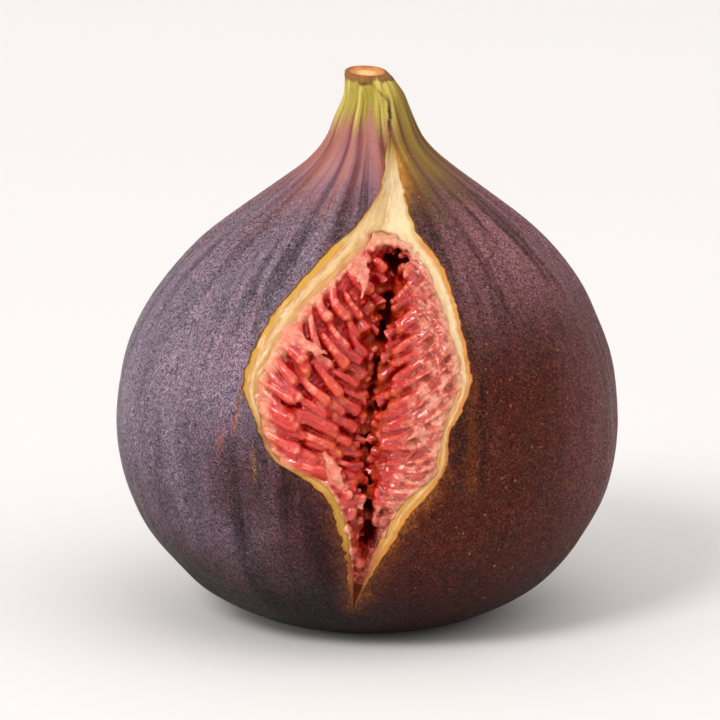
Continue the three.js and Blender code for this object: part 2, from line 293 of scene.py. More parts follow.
    def point(self, turn: np.ndarray, height: np.ndarray, radius: np.ndarray) -> np.ndarray:
        """A point of the fruit's surface, or of a smaller ring at the same height.

        Args:
            turn: Radians round the fruit from the front towards +X.
            height: Heights before the cut end's tilt.
            radius: Distances from the fruit's middle.

        Returns:
            Places with x, y and z on the last axis.
        """
        turn, height, radius = np.broadcast_arrays(turn, height, radius)
        across = radius * np.sin(turn)
        back = -radius * self.depth_share * np.cos(turn)
        share = np.clip((height - self.neck_start) / (self.stalk_top - self.neck_start), 0, 1)
        slope_back, slope_side = (math.tan(math.radians(a)) for a in (self.cut_tilt_back, self.cut_tilt_side))
        tilt = slope_back * back - slope_side * across
        return np.stack([self.lean(height) + across, back, height + share * tilt], -1)

    def front(self, across: Any, height: Any) -> np.ndarray:
        """Where the unribbed skin lies, front to back, at a place sideways and a height.

        Args:
            across: Places sideways.
            height: Heights.

        Returns:
            Places along y.
        """
        radius = self.radius(height)
        share = np.clip((across - self.lean(height)) / radius, -0.98, 0.98)
        return -radius * self.depth_share * np.sqrt(1 - share * share)

    def even_heights(self, count: int) -> np.ndarray:
        """Heights that divide the fruit's side into stretches of equal length.

        Args:
            count: How many heights.

        Returns:
            The heights, from the base to the top of the stalk.
        """
        fine = np.linspace(0, self.stalk_top, 1201)
        lengths = np.hypot(np.diff(fine), np.diff(self.radius(fine)))
        walked = np.concatenate([[0], np.cumsum(lengths)])
        return np.interp(np.linspace(0, walked[-1], count), walked, fine)

    def edge(self, side: Side, height: Any) -> np.ndarray:
        """Where the pulp ends against the rind on one side."""
        return SmoothCurve(self.pulp_right if side is Side.RIGHT else self.pulp_left)(height)

    def crease(self, height: Any) -> np.ndarray:
        """Where the two banks of pulp meet, sideways."""
        return SmoothCurve(self.creases)(height)

    def bank(self, side: Side, share: Any, height: Any, lift: Any = 0.0) -> np.ndarray:
        """A point of a bank of pulp.

        Args:
            side: Which bank.
            share: 0 at the crease and 1 at the rind.
            height: Height over the surface that the fig stands on.
            lift: How far the point stands out towards the front.

        Returns:
            Places with x, y and z on the last axis.
        """
        share, height, lift = np.broadcast_arrays(np.asarray(share, float), height, lift)
        across = between(self.crease(height), self.edge(side, height), share)
        back = self.front(across, height) + self.bank_depth(share, height) - lift
        return np.stack([across, back, height], -1)

    def bank_depth(self, share: Any, height: Any) -> np.ndarray:
        """How deep under the skin a bank lies at a share of the way to the rind."""
        steep = np.clip(1 - share, 0, 1) ** self.bank_power
        return between(self.rind_depth, SmoothCurve(self.crease_depths)(height), steep)

    def standing(self, points: np.ndarray) -> tuple[np.ndarray, np.ndarray]:
        """Measures points against the plain banks.

        Args:
            points: Places in millimetres.

        Returns:
            How far each stands out of its bank, and its share of the way to the rind, below 0 on the left.
        """
        x, y, z = points.T
        crease = self.crease(z)
        side = np.where(x < crease, -1, 1)
        edge = np.where(x < crease, self.edge(Side.LEFT, z), self.edge(Side.RIGHT, z))
        share = (x - crease) / np.where(np.abs(edge - crease) < 0.2, side * 0.2, edge - crease)
        return self.front(x, z) + self.bank_depth(share, z) - y, share * side


# Shaders


@dataclass(frozen=True)
class Value:
    """A shader socket that takes part in sums as a number does."""

    maker: "NodeMaker"
    socket: bpy.types.NodeSocket

    def math(self, operation: str, *others: Any) -> "Value":
        """Adds a Math node on this value and others."""
        inputs = {i: other for i, other in enumerate((self, *others))}
        return self.maker.node("ShaderNodeMath", {"operation": operation}, inputs).value()

    def __add__(self, other: Any) -> "Value":
        """This value plus another."""
        return self.math("ADD", other)

    __radd__ = __add__

    def __sub__(self, other: Any) -> "Value":
        """This value less another."""
        return self.math("SUBTRACT", other)

    def __rsub__(self, other: Any) -> "Value":
        """Another value less this one."""
        return (self * -1) + other

    def __mul__(self, other: Any) -> "Value":
        """This value times another."""
        return self.math("MULTIPLY", other)

    __rmul__ = __mul__

    def size(self) -> "Value":
        """This value without its sign."""
        return self.math("ABSOLUTE")

    def at_least(self, other: Any) -> "Value":
        """The larger of two values."""
        return self.math("MAXIMUM", other)

    def step(self, low: float, high: float) -> "Value":
        """Rises smoothly from 0 at low to 1 at high, or falls where low is the larger.

        Args:
            low: Where it is 0.
            high: Where it is 1.

        Returns:
            The step's value.
        """
        settings = {"interpolation_type": "SMOOTHSTEP"}
        start, end, first, last = (low, high, 0.0, 1.0) if low < high else (high, low, 1.0, 0.0)
        inputs = {"Value": self, "From Min": start, "From Max": end, "To Min": first, "To Max": last}
        return self.maker.node("ShaderNodeMapRange", settings, inputs).value()


@dataclass(frozen=True)
class Made:
    """A node just made, with short ways to its outputs."""

    maker: "NodeMaker"
    node: bpy.types.Node

    def value(self, name: str | int = 0) -> Value:
        """One output as a value."""
        return Value(self.maker, self.node.outputs[name])


class NodeMaker:
    """Adds nodes to one tree, in shaders and Geometry Nodes alike."""

    def __init__(self, tree: bpy.types.NodeTree) -> None:
        """Starts on an empty tree."""
        self.tree = tree

    def node(self, kind: str, settings: Settings = None, inputs: Inputs = None) -> Made:
        """Adds a node.

        Args:
            kind: The node's type.
            settings: Its own settings, set before its sockets.
            inputs: Values or links by socket name or number.

        Returns:
            The node with ways to its outputs.
        """
        node = self.tree.nodes.new(kind)
        for name, value in (settings or {}).items():
            setattr(node, name, value)
        for name, value in (inputs or {}).items():
            self.feed(node.inputs[name], value)
        return Made(self, node)

    def first(self, kind: str, inputs: Inputs = None, settings: Settings = None) -> Value:
        """Adds a node and gives its first output."""
        return self.node(kind, settings, inputs).value()

    def feed(self, socket: bpy.types.NodeSocket, value: Any) -> None:
        """Links a value to a socket, or sets the socket's own number, colour or text.

        Args:
            socket: The socket.
            value: A value to link, or what the socket itself holds.
        """
        if isinstance(value, Value):
            self.tree.links.new(value.socket, socket)
        elif isinstance(value, tuple) and len(value) == 3 and socket.type == "RGBA":
            socket.default_value = (*value, 1.0)
        else:
            socket.default_value = value


class ShaderMaker(NodeMaker):
    """Adds the nodes of one material."""

    def point(self) -> Value:
        """The place on the piece, in millimetres."""
        coordinates = self.node("ShaderNodeTexCoord").value("Object")
        return self.vector("SCALE", coordinates, scale=1 / MM)

    def vector(self, operation: str, first: Any, second: Any = None, scale: float | None = None) -> Value:
        """Adds a Vector Math node.

        Args:
            operation: What it does.
            first: Its first vector.
            second: Its second vector, if it reads one.
            scale: Its factor, if it reads one.

        Returns:
            The vector.
        """
        inputs: dict[Any, Any] = {0: first}
        if second is not None:
            inputs[1] = second
        if scale is not None:
            inputs["Scale"] = scale
        return self.node("ShaderNodeVectorMath", {"operation": operation}, inputs).value()

    def parts(self, point: Value) -> tuple[Value, Value, Value]:
        """The three numbers of a place."""
        made = self.node("ShaderNodeSeparateXYZ", None, {0: point})
        return made.value("X"), made.value("Y"), made.value("Z")

    def joined(self, x: Any, y: Any, z: Any) -> Value:
        """A place from three numbers."""
        return self.first("ShaderNodeCombineXYZ", {"X": x, "Y": y, "Z": z})

    def attribute(self, name: str) -> Value:
        """A number kept on the piece's points."""
        return self.node("ShaderNodeAttribute", {"attribute_name": name}).value("Fac")

    def noise(
        self, point: Value, size: float, detail: float = 3, rough: float = 0.55, warp: float = 0
    ) -> Value:
        """Makes uneven values around 0.5.

        Args:
            point: The place that they are read at, in millimetres.
            size: How large the patches are, in millimetres.
            detail: How many finer layers lie on them.
            rough: How strong those layers are.
            warp: How much the patches are drawn into swirls.

        Returns:
            The values.
        """
        inputs = {"Vector": point, "Scale": 1 / size, "Detail": detail, "Roughness": rough}
        return self.first("ShaderNodeTexNoise", {**inputs, "Distortion": warp})

    def cells(self, point: Value, size: float) -> Value:
        """The distance to the nearest of seeded points about size millimetres apart, in shares of size."""
        return self.node("ShaderNodeTexVoronoi", None, {"Vector": point, "Scale": 1 / size}).value("Distance")

    def mix(self, share: Any, first: Any, second: Any) -> Value:
        """Goes from one colour to another.

        Args:
            share: How far it goes, from 0 to 1.
            first: The colour at 0.
            second: The colour at 1.

        Returns:
            The mixed colour.
        """
        made = self.node("ShaderNodeMix", {"data_type": "RGBA"})
        for identifier, value in (("Factor_Float", share), ("A_Color", first), ("B_Color", second)):
            socket = next(s for s in made.node.inputs if s.identifier == identifier)
            self.feed(socket, value)
        return Value(self, next(s for s in made.node.outputs if s.identifier == "Result_Color"))

    def layered(self, ground: Any, *coats: Coat) -> Value:
        """Lays coats over a colour, one after the other.

        Args:
            ground: The colour under them.
            coats: Pairs of a share and the colour that it brings.

        Returns:
            The colour on top.
        """
        colour = ground
        for share, tone in coats:
            colour = self.mix(share, colour, tone)
        return colour

    def bump(self, height: Value, distance: float, strength: float = 1, under: Value | None = None) -> Value:
        """Makes the surface seem uneven.

        Args:
            height: How far the surface seems to stand out, from 0 to 1.
            distance: What 1 stands for, in millimetres.
            strength: How much of it shows.
            under: Bumps that it lies on.

        Returns:
            The bumped normal.
        """
        inputs: dict[Any, Any] = {"Height": height, "Distance": distance * MM, "Strength": strength}
        if under is not None:
            inputs["Normal"] = under
        return self.first("ShaderNodeBump", inputs)


@dataclass(frozen=True)
class Finish:
    """A finish with the numbers that are the same all over it. Each kind of surface paints its own look."""

    name: str
    roughness: float = 0.5
    subsurface: float = 0.0
    subsurface_radius: Colour = (1.0, 0.4, 0.2)
    subsurface_depth: float = 1.0
    specular: float = 0.5
    coat: float = 0.0
    coat_roughness: float = 0.1
    sheen: float = 0.0
    sheen_colour: Colour = (1.0, 1.0, 1.0)

    def material(self) -> bpy.types.Material:
        """Makes the material.

        Returns:
            The material, painted and with its shader's own numbers set.
        """
        made = bpy.data.materials.new(self.name)
        made.use_nodes = True
        made.node_tree.nodes.clear()
        maker = ShaderMaker(made.node_tree)
        numbers = {
            "Roughness": self.roughness,
            "Subsurface Weight": self.subsurface,
            "Subsurface Radius": self.subsurface_radius,
            "Subsurface Scale": self.subsurface_depth * MM,
            "Specular IOR Level": self.specular,
            "Coat Weight": self.coat,
            "Coat Roughness": self.coat_roughness,
            "Sheen Weight": self.sheen,
            "Sheen Tint": self.sheen_colour,
        }
        surface = maker.node("ShaderNodeBsdfPrincipled", None, numbers)
        self.paint(maker, surface.node.inputs)
        maker.node("ShaderNodeOutputMaterial", None, {"Surface": surface.value()})
        return made

    def paint(self, maker: ShaderMaker, surface: bpy.types.NodeInputs) -> None:
        """Feeds what changes over the surface. Each finish has its own."""
        raise NotImplementedError


@dataclass(frozen=True)
class SkinFinish(Finish):
    """Purple skin under a waxy bloom, redder where it is rubbed and olive green at the neck, with painted
    light: highlight in the bloom on the upper left, a sheen on the right edge, highlight and shade on the
    neck's ridges, and shade at the base.
    """

    # Near black: dark pores, lines and edges, and also painted shade at the base.
    blackish_and_shade: Colour = rgb(18, 5, 4)
    dark: Colour = rgb(54, 24, 26)
    purple: Colour = rgb(98, 54, 58)
    red_brown: Colour = rgb(98, 27, 14)
    # Laid as the real waxy bloom and also as painted highlight on the upper left.
    bloom_and_highlight: Colour = rgb(182, 158, 182)
    lilac: Colour = rgb(194, 128, 138)
    mauve: Colour = rgb(190, 146, 172)
    pink: Colour = rgb(160, 88, 74)
    rose: Colour = rgb(204, 144, 128)
    green: Colour = rgb(214, 192, 98)
    leaf: Colour = rgb(168, 152, 62)
    olive: Colour = rgb(128, 98, 44)
    cut_brown: Colour = rgb(140, 78, 46)
    amber: Colour = rgb(172, 84, 26)
    honey: Colour = rgb(224, 156, 56)
    tan: Colour = rgb(196, 112, 62)
    glint: Colour = rgb(206, 190, 200)

    def paint(self, maker: ShaderMaker, surface: bpy.types.NodeInputs) -> None:
        """Feeds the skin's colour, gloss and pores.

        Args:
            maker: The material's node maker.
            surface: The shader's sockets.
        """
        point = maker.point()
        x, y, z = maker.parts(point)
        tear = maker.attribute("from_tear")
        around = maker.vector("SCALE", maker.vector("NORMALIZE", maker.joined(x - 0.5, y, 0.0)), scale=14.0)
        drawn, less_drawn = (maker.vector("ADD", around, maker.joined(0.0, 0.0, z * k)) for k in (0.1, 0.25))
        streaks = maker.noise(drawn, 1.5, 4, 0.62)
        fine_streaks = maker.noise(less_drawn, 0.42, 3, 0.6)
        patches = maker.noise(point, 8.0, 4, 0.6)
        mottle = maker.noise(point, 1.3, 4, 0.68)
        grain = maker.noise(point, 0.24, 2, 0.7)
        uneven, rough = patches - 0.5, mottle - 0.5
        worms = (maker.noise(point, 0.5, 2, 0.6, 1.5) - 0.5).size().step(0.06, 0.01)
        apart = maker.vector("SCALE", point, scale=1.31)
        pits = (maker.noise(apart, 0.5, 2, 0.6, 1.5) - 0.5).size().step(0.05, 0.01)

        front = (y + uneven * 20).step(9, -7)
        right = (x + uneven * 16).step(-8, 8) * (0.5 + front * 0.5)
        left = 1.0 - right
        high = (z + uneven * 8 + rough * 4).step(4, 27)
        beside = tear.step(12.0, 3.0) * z.step(30, 20) * z.step(5, 12)
        cover = left * 0.95 - beside * 0.75 + uneven * 0.8 + rough * 0.6 + (streaks - 0.5) * 0.6
        # Partly real bloom, partly painted highlight: the bloom thickens towards the top and the left, where
        # the light falls.
        bloom_and_highlight = cover.step(0.1, 1.15) * (0.12 + high * 0.88) + right * z.step(26, 40) * 0.25
        shoulder = (z + uneven * 6).step(30, 40)
        aside = (x + rough * 3).step(5, 12)
        left_shoulder = x.step(-5, -13) * (z + uneven * 8).step(24, 34)
        colour = maker.layered(
            self.dark,
            (streaks.step(0.36, 0.62), self.purple),
            (right * patches.step(0.25, 0.5) * 0.92, self.red_brown),
            (mottle.step(0.42, 0.66) * 0.45, self.dark),
            (bloom_and_highlight * 0.7 * (0.8 + streaks * 0.4), self.bloom_and_highlight),
            (patches.step(0.48, 0.62) * left * z.step(17, 28) * 0.5, self.lilac),
            (shoulder * (0.15 + aside * 0.85) * streaks.step(0.28, 0.55) * 0.85, self.lilac),
            # Painted highlight: more bloom colour on the left flank, where the window light falls.
            (x.step(-6, -18) * z.step(13, 27) * 0.55, self.bloom_and_highlight),
            (left_shoulder * streaks.step(0.44, 0.6) * 0.55, self.mauve),
            # Painted sheen: lilac along the right flank's edge stands in for the reflection of the pale room.
            (x.step(16, 24) * z.step(8, 20) * (0.2 + streaks * 0.3), self.lilac),
            (shoulder * streaks.step(0.56, 0.34) * 0.65, self.dark),
            (streaks.step(0.5, 0.34) * z.step(10, 22) * 0.3, self.dark),
            # Painted shade: the skin goes near black towards the base, where the fig meets the floor.
            ((z + uneven * 8 + rough * 3).step(13, 2) * (0.95 - right * 0.3), self.blackish_and_shade),
        )
        colour = maker.layered(colour, *self.neck(maker, (x, z), drawn, fine_streaks, mottle))

        ragged = tear + rough * 2.4 + (fine_streaks - 0.5) * 2.4
        upper = (x - 1.5).step(0, 1) * (z + x * 0.2).step(42.5, 45.0) * z.step(48.5, 46.0)
        lower = z.step(22, 17) * (0.1 + right * 0.7)
        specks = maker.cells(point, 1.3).step(0.15, 0.06) * maker.noise(point, 4.0).step(0.34, 0.52)
        calm = z.step(46, 40)
        bright = (worms * 0.6 + grain.step(0.56, 0.72) * 0.5) * (0.04 + bloom_and_highlight * 0.96) * z.step(2, 14)
        rubbed = (worms * 0.3 + grain.step(0.58, 0.72) * 0.3) * right * z.step(2, 14)
        colour = maker.layered(
            colour,
            (ragged.step(2.2, 0.0) * (upper * 0.35 + lower * 0.7) + ragged.step(1.0, -0.4) * 0.1, self.amber),
            (ragged.step(0.9, -0.3) * (upper * 0.6 + lower * 0.35), self.honey),
            *self.marks((x, y, z), rough),
            ((tear + (grain - 0.5) * 0.2).step(0.1, 0.0) * 0.7, self.blackish_and_shade),
            (specks * (0.45 + right * 0.55), self.tan),
            (bright * calm, self.glint),
            (rubbed * calm, self.tan),
            ((pits * 0.75 + grain.step(0.46, 0.3) * 0.6) * calm, self.blackish_and_shade),
        )
        maker.feed(surface["Base Color"], colour)

        maker.feed(surface["Roughness"], 0.5 - worms * calm * 0.22 + (grain - 0.5) * 0.2)
        pores = maker.bump(worms * calm - pits * calm, 0.14, 1.0)
        pores = maker.bump(grain, 0.14, 1.0, pores)
        maker.feed(surface["Normal"], maker.bump(mottle, 0.2, 0.6, pores))

    def neck(
        self, maker: ShaderMaker, place: tuple[Value, Value], drawn: Value, fine_streaks: Value,
        mottle: Value,
    ) -> list[Coat]:
        """The pink and green of the neck, up to the brown collar of the stalk, with painted highlight on its
        ridges and painted shade in its grooves.

        Args:
            maker: The material's node maker.
            place: The place on the skin, sideways and in height.
            drawn: The place drawn out lengthwise, for broad streaks.
            fine_streaks: Fine lengthwise unevenness.
            mottle: Fine unevenness that is the same all ways.

        Returns:
            The coats, in the order that they are laid.
        """
        x, z = place
        crest = maker.attribute("crest")
        waves = maker.noise(drawn, 2.6, 1, 0.3)
        wavy = waves - 0.5
        left_neck = (z + wavy * 9 - x * 0.25).step(41.0, 50.5)
        right_neck = (z + wavy * 6).step(40.5, 46.0) * (x - 2.3).step(-0.2, 1.2)
        top = (z + wavy * 4).step(48.2, 51.6)
        yellowish = maker.mix(waves.step(0.62, 0.38), self.green, self.leaf)
        green = maker.mix((x - 2.0).step(0.0, 1.4) * 0.7, yellowish, self.olive)
        crests = left_neck * (1.0 - top) * (x - 2.3).step(0.3, -0.3)
        collar = z + (mottle - 0.5) * 1.6 - x * 0.06 + fine_streaks * 0.4
        lip = (collar - 54.1).size().step(0.3, 0.02) * mottle.step(0.4, 0.6)
        return [
            (left_neck * 0.86, self.pink),
            (left_neck * fine_streaks.step(0.52, 0.34) * 0.16, self.purple),
            (right_neck * 0.9, self.olive),
            (right_neck * waves.step(0.42, 0.62) * z.step(44, 48) * 0.45, self.leaf),
            (top * 0.95, green),
            # Painted highlight: rose on the crests of the neck's ridges. Painted shade: purple in their
            # grooves near the stalk.
            (crest.step(0.0, 0.3) * crests * 0.45, self.rose),
            (crest.step(0.0, -0.55) * z.step(53.5, 50) * 0.5, self.purple),
            (collar.step(53.9, 54.4) * 0.85, self.cut_brown),
            (lip * 0.8, self.dark),
        ]

    def marks(self, place: tuple[Value, Value, Value], rough: Value) -> list[Coat]:
        """The few creases and stains round the split.

        Args:
            place: The three numbers of the place on the skin.
            rough: Fine unevenness around 0 that roughens each mark.

        Returns:
            The coats, in the order that they are laid.
        """
        x, y, z = place
        front = y.step(-0.5, -2)
        wander = rough * 2.2
        marks = (
            ((-11.8, 28.0), (-12.85, 22.6), 0.3, self.tan, 0.75),
            ((-12.95, 22.6), (-11.8, 11.0), 0.9, self.blackish_and_shade, 0.4),
            ((-13.9, 22.8), (-14.1, 21.0), 0.5, self.tan, 0.6),
            ((-10.8, 21.5), (-10.6, 18.5), 0.4, self.honey, 0.4),
            ((9.9, 28.6), (10.0, 17.0), 1.0, self.amber, 0.35),
            ((10.9, 29.0), (11.1, 16.0), 0.7, self.blackish_and_shade, 0.5),
            ((8.95, 26.5), (8.6, 20.0), 1.0, self.blackish_and_shade, 0.6),
            ((2.3, 48.6), (2.15, 52.2), 0.34, self.dark, 0.9),
            ((1.2, 53.0), (2.2, 52.0), 0.34, self.dark, 0.8),
        )
        coats = []
        for (start_x, start_z), (end_x, end_z), width, tone, share in marks:
            slope = (end_x - start_x) / (end_z - start_z)
            off = (x - start_x - (z - start_z) * slope + wander * min(0.5, width)).size()
            low, high = sorted((start_z, end_z))
            ends = z.step(low - 1.0, low + 1.5) * z.step(high + 1.0, high - 1.0)
            coats.append((off.step(width, width * 0.1) * ends * front * share, tone))
        return coats


@dataclass(frozen=True)
class RindFinish(Finish):
    """Torn cream rind with fibres along the tear, yellow under the skin and pink beside the pulp."""

    cream: Colour = rgb(200, 146, 92)
    pale: Colour = rgb(230, 192, 142)
    yellow: Colour = rgb(214, 158, 36)
    orange: Colour = rgb(222, 134, 36)
    dark: Colour = rgb(80, 36, 18)
    pink: Colour = rgb(234, 132, 92)
    raw: Colour = rgb(190, 96, 66)
    olive: Colour = rgb(206, 164, 44)
    brown: Colour = rgb(176, 104, 56)
    bright: Colour = rgb(250, 226, 180)

    def paint(self, maker: ShaderMaker, surface: bpy.types.NodeInputs) -> None:
        """Feeds the rind's colour and its fibres.

        Args:
            maker: The material's node maker.
            surface: The shader's sockets.
        """
        point = maker.point()
        x, y, z = maker.parts(point)
        across = maker.attribute("across")
        fibres = maker.noise(maker.joined(across * 4.5, y * 0.2, z * 0.2), 0.3, 4, 0.62)
        mottle = maker.noise(point, 1.1, 4, 0.62)
        rough = mottle - 0.5
        ragged = across + rough * 0.35
        thread = (ragged - 0.55).size().step(0.2, 0.02)
        in_band = z.step(43, 39)
        right = (x - 0.6).step(0, 1.5)
        outer = maker.mix(right * 0.75, self.yellow, self.orange)
        face = (z + rough * 1.5).step(39.6, 41.2)
        left_face = (2.15 - x + rough * 0.5).step(0.0, 0.5) * face
        seam = across.step(1.6, 1.95) * z.step(40.0, 41) * z.step(46, 43) * fibres.step(0.4, 0.6)
        colour = maker.layered(
            self.cream,
            ((fibres.step(0.38, 0.62) * 0.6 + thread * 0.6).step(0.1, 0.9), self.pale),
            (ragged.step(0.45, 0.15) * 0.9, outer),
            ((ragged - 0.74).size().step(0.22, 0.0) * in_band * 0.4, self.yellow),
            (ragged.step(0.75, 1.05) * in_band * 0.85, self.pink),
            (z.step(23, 16) * (1.0 - right * 0.5) * 0.8, self.yellow),
            (right * in_band * z.step(26, 32) * ragged.step(0.25, 0.5) * 0.5, self.bright),
            ((z + rough * 4).step(13.5, 9.5) * ragged.step(0.1, 0.35) * 0.85, self.raw),
            (right * in_band * z.step(32, 26) * ragged.step(0.6, 0.3) * 0.4, self.orange),
            (z.step(9.5, 6.5) * 0.85, self.brown),
            # Pale cream over the arch's face: partly its own colour, partly painted light on the left half,
            # which turns away from the lamp.
            (face * (0.55 + fibres * 0.6), self.bright),
            (left_face * 0.35, self.yellow),
            (face * ragged.step(0.6, 0.05) * 0.75, self.yellow),
            (seam * 0.5, self.brown),
            (z.step(45.0, 48.0) * 0.8, self.olive),
            ((across + rough * 0.04).step(0.03, 0.01) * 0.8, self.dark),
        )
        maker.feed(surface["Base Color"], colour)
        maker.feed(surface["Normal"], maker.bump(mottle, 0.3, 0.6, maker.bump(fibres, 0.2, 0.8)))


@dataclass(frozen=True)
class CutFinish(Finish):
    """The stalk's cut end: a cream heart in a tan ring and a brown rim."""

    heart: Colour = rgb(250, 204, 140)
    tan: Colour = rgb(222, 142, 74)
    rim: Colour = rgb(160, 92, 50)

    def paint(self, maker: ShaderMaker, surface: bpy.types.NodeInputs) -> None:
        """Feeds the cut end's colour and grain.

        Args:
            maker: The material's node maker.
            surface: The shader's sockets.
        """
        point = maker.point()
        grain = maker.noise(point, 0.3, 4, 0.6)
        out = maker.attribute("across") + (maker.noise(point, 0.8) - 0.5) * 0.35
        colour = maker.mix((out + (grain - 0.5) * 0.4).step(0.3, 0.85), self.heart, self.tan)
        colour = maker.mix((out + (grain - 0.5) * 0.3).step(0.98, 1.2), colour, self.rim)
        maker.feed(surface["Base Color"], colour)
        maker.feed(surface["Normal"], maker.bump(grain, 0.12, 0.7))


@dataclass(frozen=True)
class PulpFinish(Finish):
    """Wet pulp: pink on the crowns of the florets, deep red between them, amber seeds and pale torn skins.
    The deep red in the grooves and the darker red in the deepest hollows and low in the split are painted
    shade; the pale streaks on the crowns and the wet film are partly painted highlight.
    """

    # Painted shade for the deepest hollows.
    hollow_shade: Colour = rgb(112, 9, 5)
    deep: Colour = rgb(160, 8, 4)
    red: Colour = rgb(204, 34, 20)
    pink: Colour = rgb(234, 99, 66)
    pale: Colour = rgb(253, 171, 143)
    amber: Colour = rgb(224, 104, 44)
    cream: Colour = rgb(246, 180, 140)
    flesh: Colour = rgb(222, 104, 78)
    # Painted shade for the lower part of the split.
    lower_shade: Colour = rgb(178, 70, 50)
    brown: Colour = rgb(150, 76, 40)

    def paint(self, maker: ShaderMaker, surface: bpy.types.NodeInputs) -> None:
        """Feeds the pulp's colour, wetness and wrinkles.

        Args:
            maker: The material's node maker.
            surface: The shader's sockets.
        """
        point = maker.point()
        x, y, z = maker.parts(point)
        names = ("side_share", "lift", "tint", "seed", "groove", "film")
        side_share, lift, tint, seed, groove, film = (maker.attribute(name) for name in names)
        share, right = side_share.size(), side_share.step(0.05, 0.3)
        mottle = maker.noise(point, 1.0, 4, 0.62)
        rough = mottle - 0.5
        veins = maker.noise(point, 0.4, 4, 0.65, 0.8)
        strands = self.strands(maker, (x, y, z), side_share)
        near = share.step(0.42, 0.06)
        # Painted shade: the crown mask sinks in the grooves between florets and near the crease, so the
        # colour goes deep red there; the pink on their tops is the florets' own colour.
        crown = rough * 0.5 + (strands - 0.5) * 0.5 - groove * 1.3 - near * 0.28
        filmed = right * share.step(0.3, 0.7)
        bottom = (z + rough * 3).step(17.5, 14.5) * lift.step(-0.7, 0.0)
        border = (share + rough * 0.3).step(0.86, 1.04) * lift.step(-1.2, -0.4)
        border = border.at_least(z.step(39.0, 40.2) * lift.step(-2.4, -1.4))
        colour = maker.layered(
            self.deep,
            (crown.step(-0.22, 0.06), self.red),
            (crown.step(0.02, 0.34) * (0.4 + tint * 0.55), self.pink),
            # Pale streaks on the crowns: partly the florets' own colour, partly painted highlight.
            (crown.step(0.1, 0.4) * strands.step(0.42, 0.6) * 0.7, self.pale),
            (seed * (0.1 + veins * 0.9) * (1.0 - near * 0.35), self.amber),
            (filmed * strands.step(0.46, 0.34) * 0.4, self.red),
            # Pale over the wet film: partly its own colour, partly painted highlight.
            (filmed * (0.18 + strands.step(0.46, 0.6) * 0.6), self.pale),
            # Painted shade: the pulp low in the split is darkened and dulled.
            (bottom * (0.5 + mottle * 0.6), self.lower_shade),
            (border * 0.8, self.cream),
            (film * (0.4 + veins), self.flesh),
            (film * (0.2 + mottle.step(0.42, 0.62) * 0.4), self.pale),
            # Painted shade: darker red where the surface sinks deepest and towards the crease.
            ((lift + rough * 0.8 - near * 0.5).step(-0.7, -2.0), self.hollow_shade),
            ((z + rough * 2).step(9.8, 7.6) * 0.8, self.brown),
        )
        maker.feed(surface["Base Color"], colour)
        wet = maker.noise(point, 0.7, 3, 0.6, 1.2)
        maker.feed(surface["Coat Weight"], (crown + lift * 0.2 + film).step(-0.4, 0.2) * 0.95)
        foil = (maker.noise(point, 0.8, 3, 0.6, 1.6) - 0.5).size().step(0.14, 0.0) * filmed
        bumps = maker.bump(veins * (0.3 + right * 0.7), 0.14, 0.7, maker.bump(strands, 0.2, 0.8))
        bumps = maker.bump(foil, 0.1, 0.8, bumps)
        maker.feed(surface["Normal"], maker.bump(wet * (0.6 + right * 0.4), 0.36, 0.9, bumps))

    def strands(self, maker: ShaderMaker, place: tuple[Value, Value, Value], side_share: Value) -> Value:
        """Fine streaks that run along the florets.

        Args:
            maker: The material's node maker.
            place: The three numbers of the place.
            side_share: The share of the way to the rind, below 0 on the left.

        Returns:
            Noise that is drawn out along the florets.
        """
        x, y, z = place
        outwards = x * (side_share.step(-0.01, 0.01) * 2 - 1)
        fall = (z - 17.5) * 0.045
        over = outwards * fall.math("SINE") - z * fall.math("COSINE")
        along = outwards * fall.math("COSINE") + z * fall.math("SINE")
        return maker.noise(maker.joined(over, along * 0.22, y * 0.5), 0.42, 3, 0.6, 0.3)


@dataclass(frozen=True)
class FloorFinish(Finish):
    """The plain pale floor under the fig."""

    pale: Colour = (0.93, 0.9, 0.88)

    def paint(self, maker: ShaderMaker, surface: bpy.types.NodeInputs) -> None:
        """Sets the floor's one colour."""
        maker.feed(surface["Base Color"], self.pale)


# Meshes


def placed(name: str, data: bpy.types.ID) -> bpy.types.Object:
    """Makes an object of a mesh, a light or a camera and puts it in the scene.

    Args:
        name: The object's name.
        data: Its mesh, light or camera.

    Returns:
        The object.
    """
    made = bpy.data.objects.new(name, data)
    bpy.context.scene.collection.objects.link(made)
    return made


def keep(mesh: bpy.types.Mesh, kept: dict[str, np.ndarray]) -> None:
    """Keeps numbers on the points of a mesh, each array under its name."""
    for key, values in kept.items():
        mesh.attributes.new(key, "FLOAT", "POINT").data.foreach_set("value", values.astype(np.float32))


@dataclass
class Shell:
    """Points, faces and what is kept on them, on the way to being a piece."""

    points: np.ndarray
    faces: Faces
    slots: list[int] = field(default_factory=list)
    kept: dict[str, np.ndarray] = field(default_factory=dict)

    def piece(self, name: str, materials: Sequence[bpy.types.Material]) -> bpy.types.Object:
        """Makes the object.

        Args:
            name: The piece's name.
            materials: Its materials, in the order of its slots.

        Returns:
            A smooth-shaded object at the origin.
        """
        mesh = bpy.data.meshes.new(name)
        mesh.from_pydata((self.points * MM).tolist(), [], self.faces)
        if self.slots:
            mesh.polygons.foreach_set("material_index", self.slots)
        keep(mesh, self.kept)
        for material in materials:
            mesh.materials.append(material)
        work = bmesh.new()
        work.from_mesh(mesh)
        bmesh.ops.remove_doubles(work, verts=work.verts, dist=WELD * MM)
        bmesh.ops.dissolve_degenerate(work, edges=work.edges, dist=WELD * MM * 0.5)
        bmesh.ops.recalc_face_normals(work, faces=work.faces)
        work.to_mesh(mesh)
        work.free()
        mesh.shade_smooth()
        return placed(name, mesh)


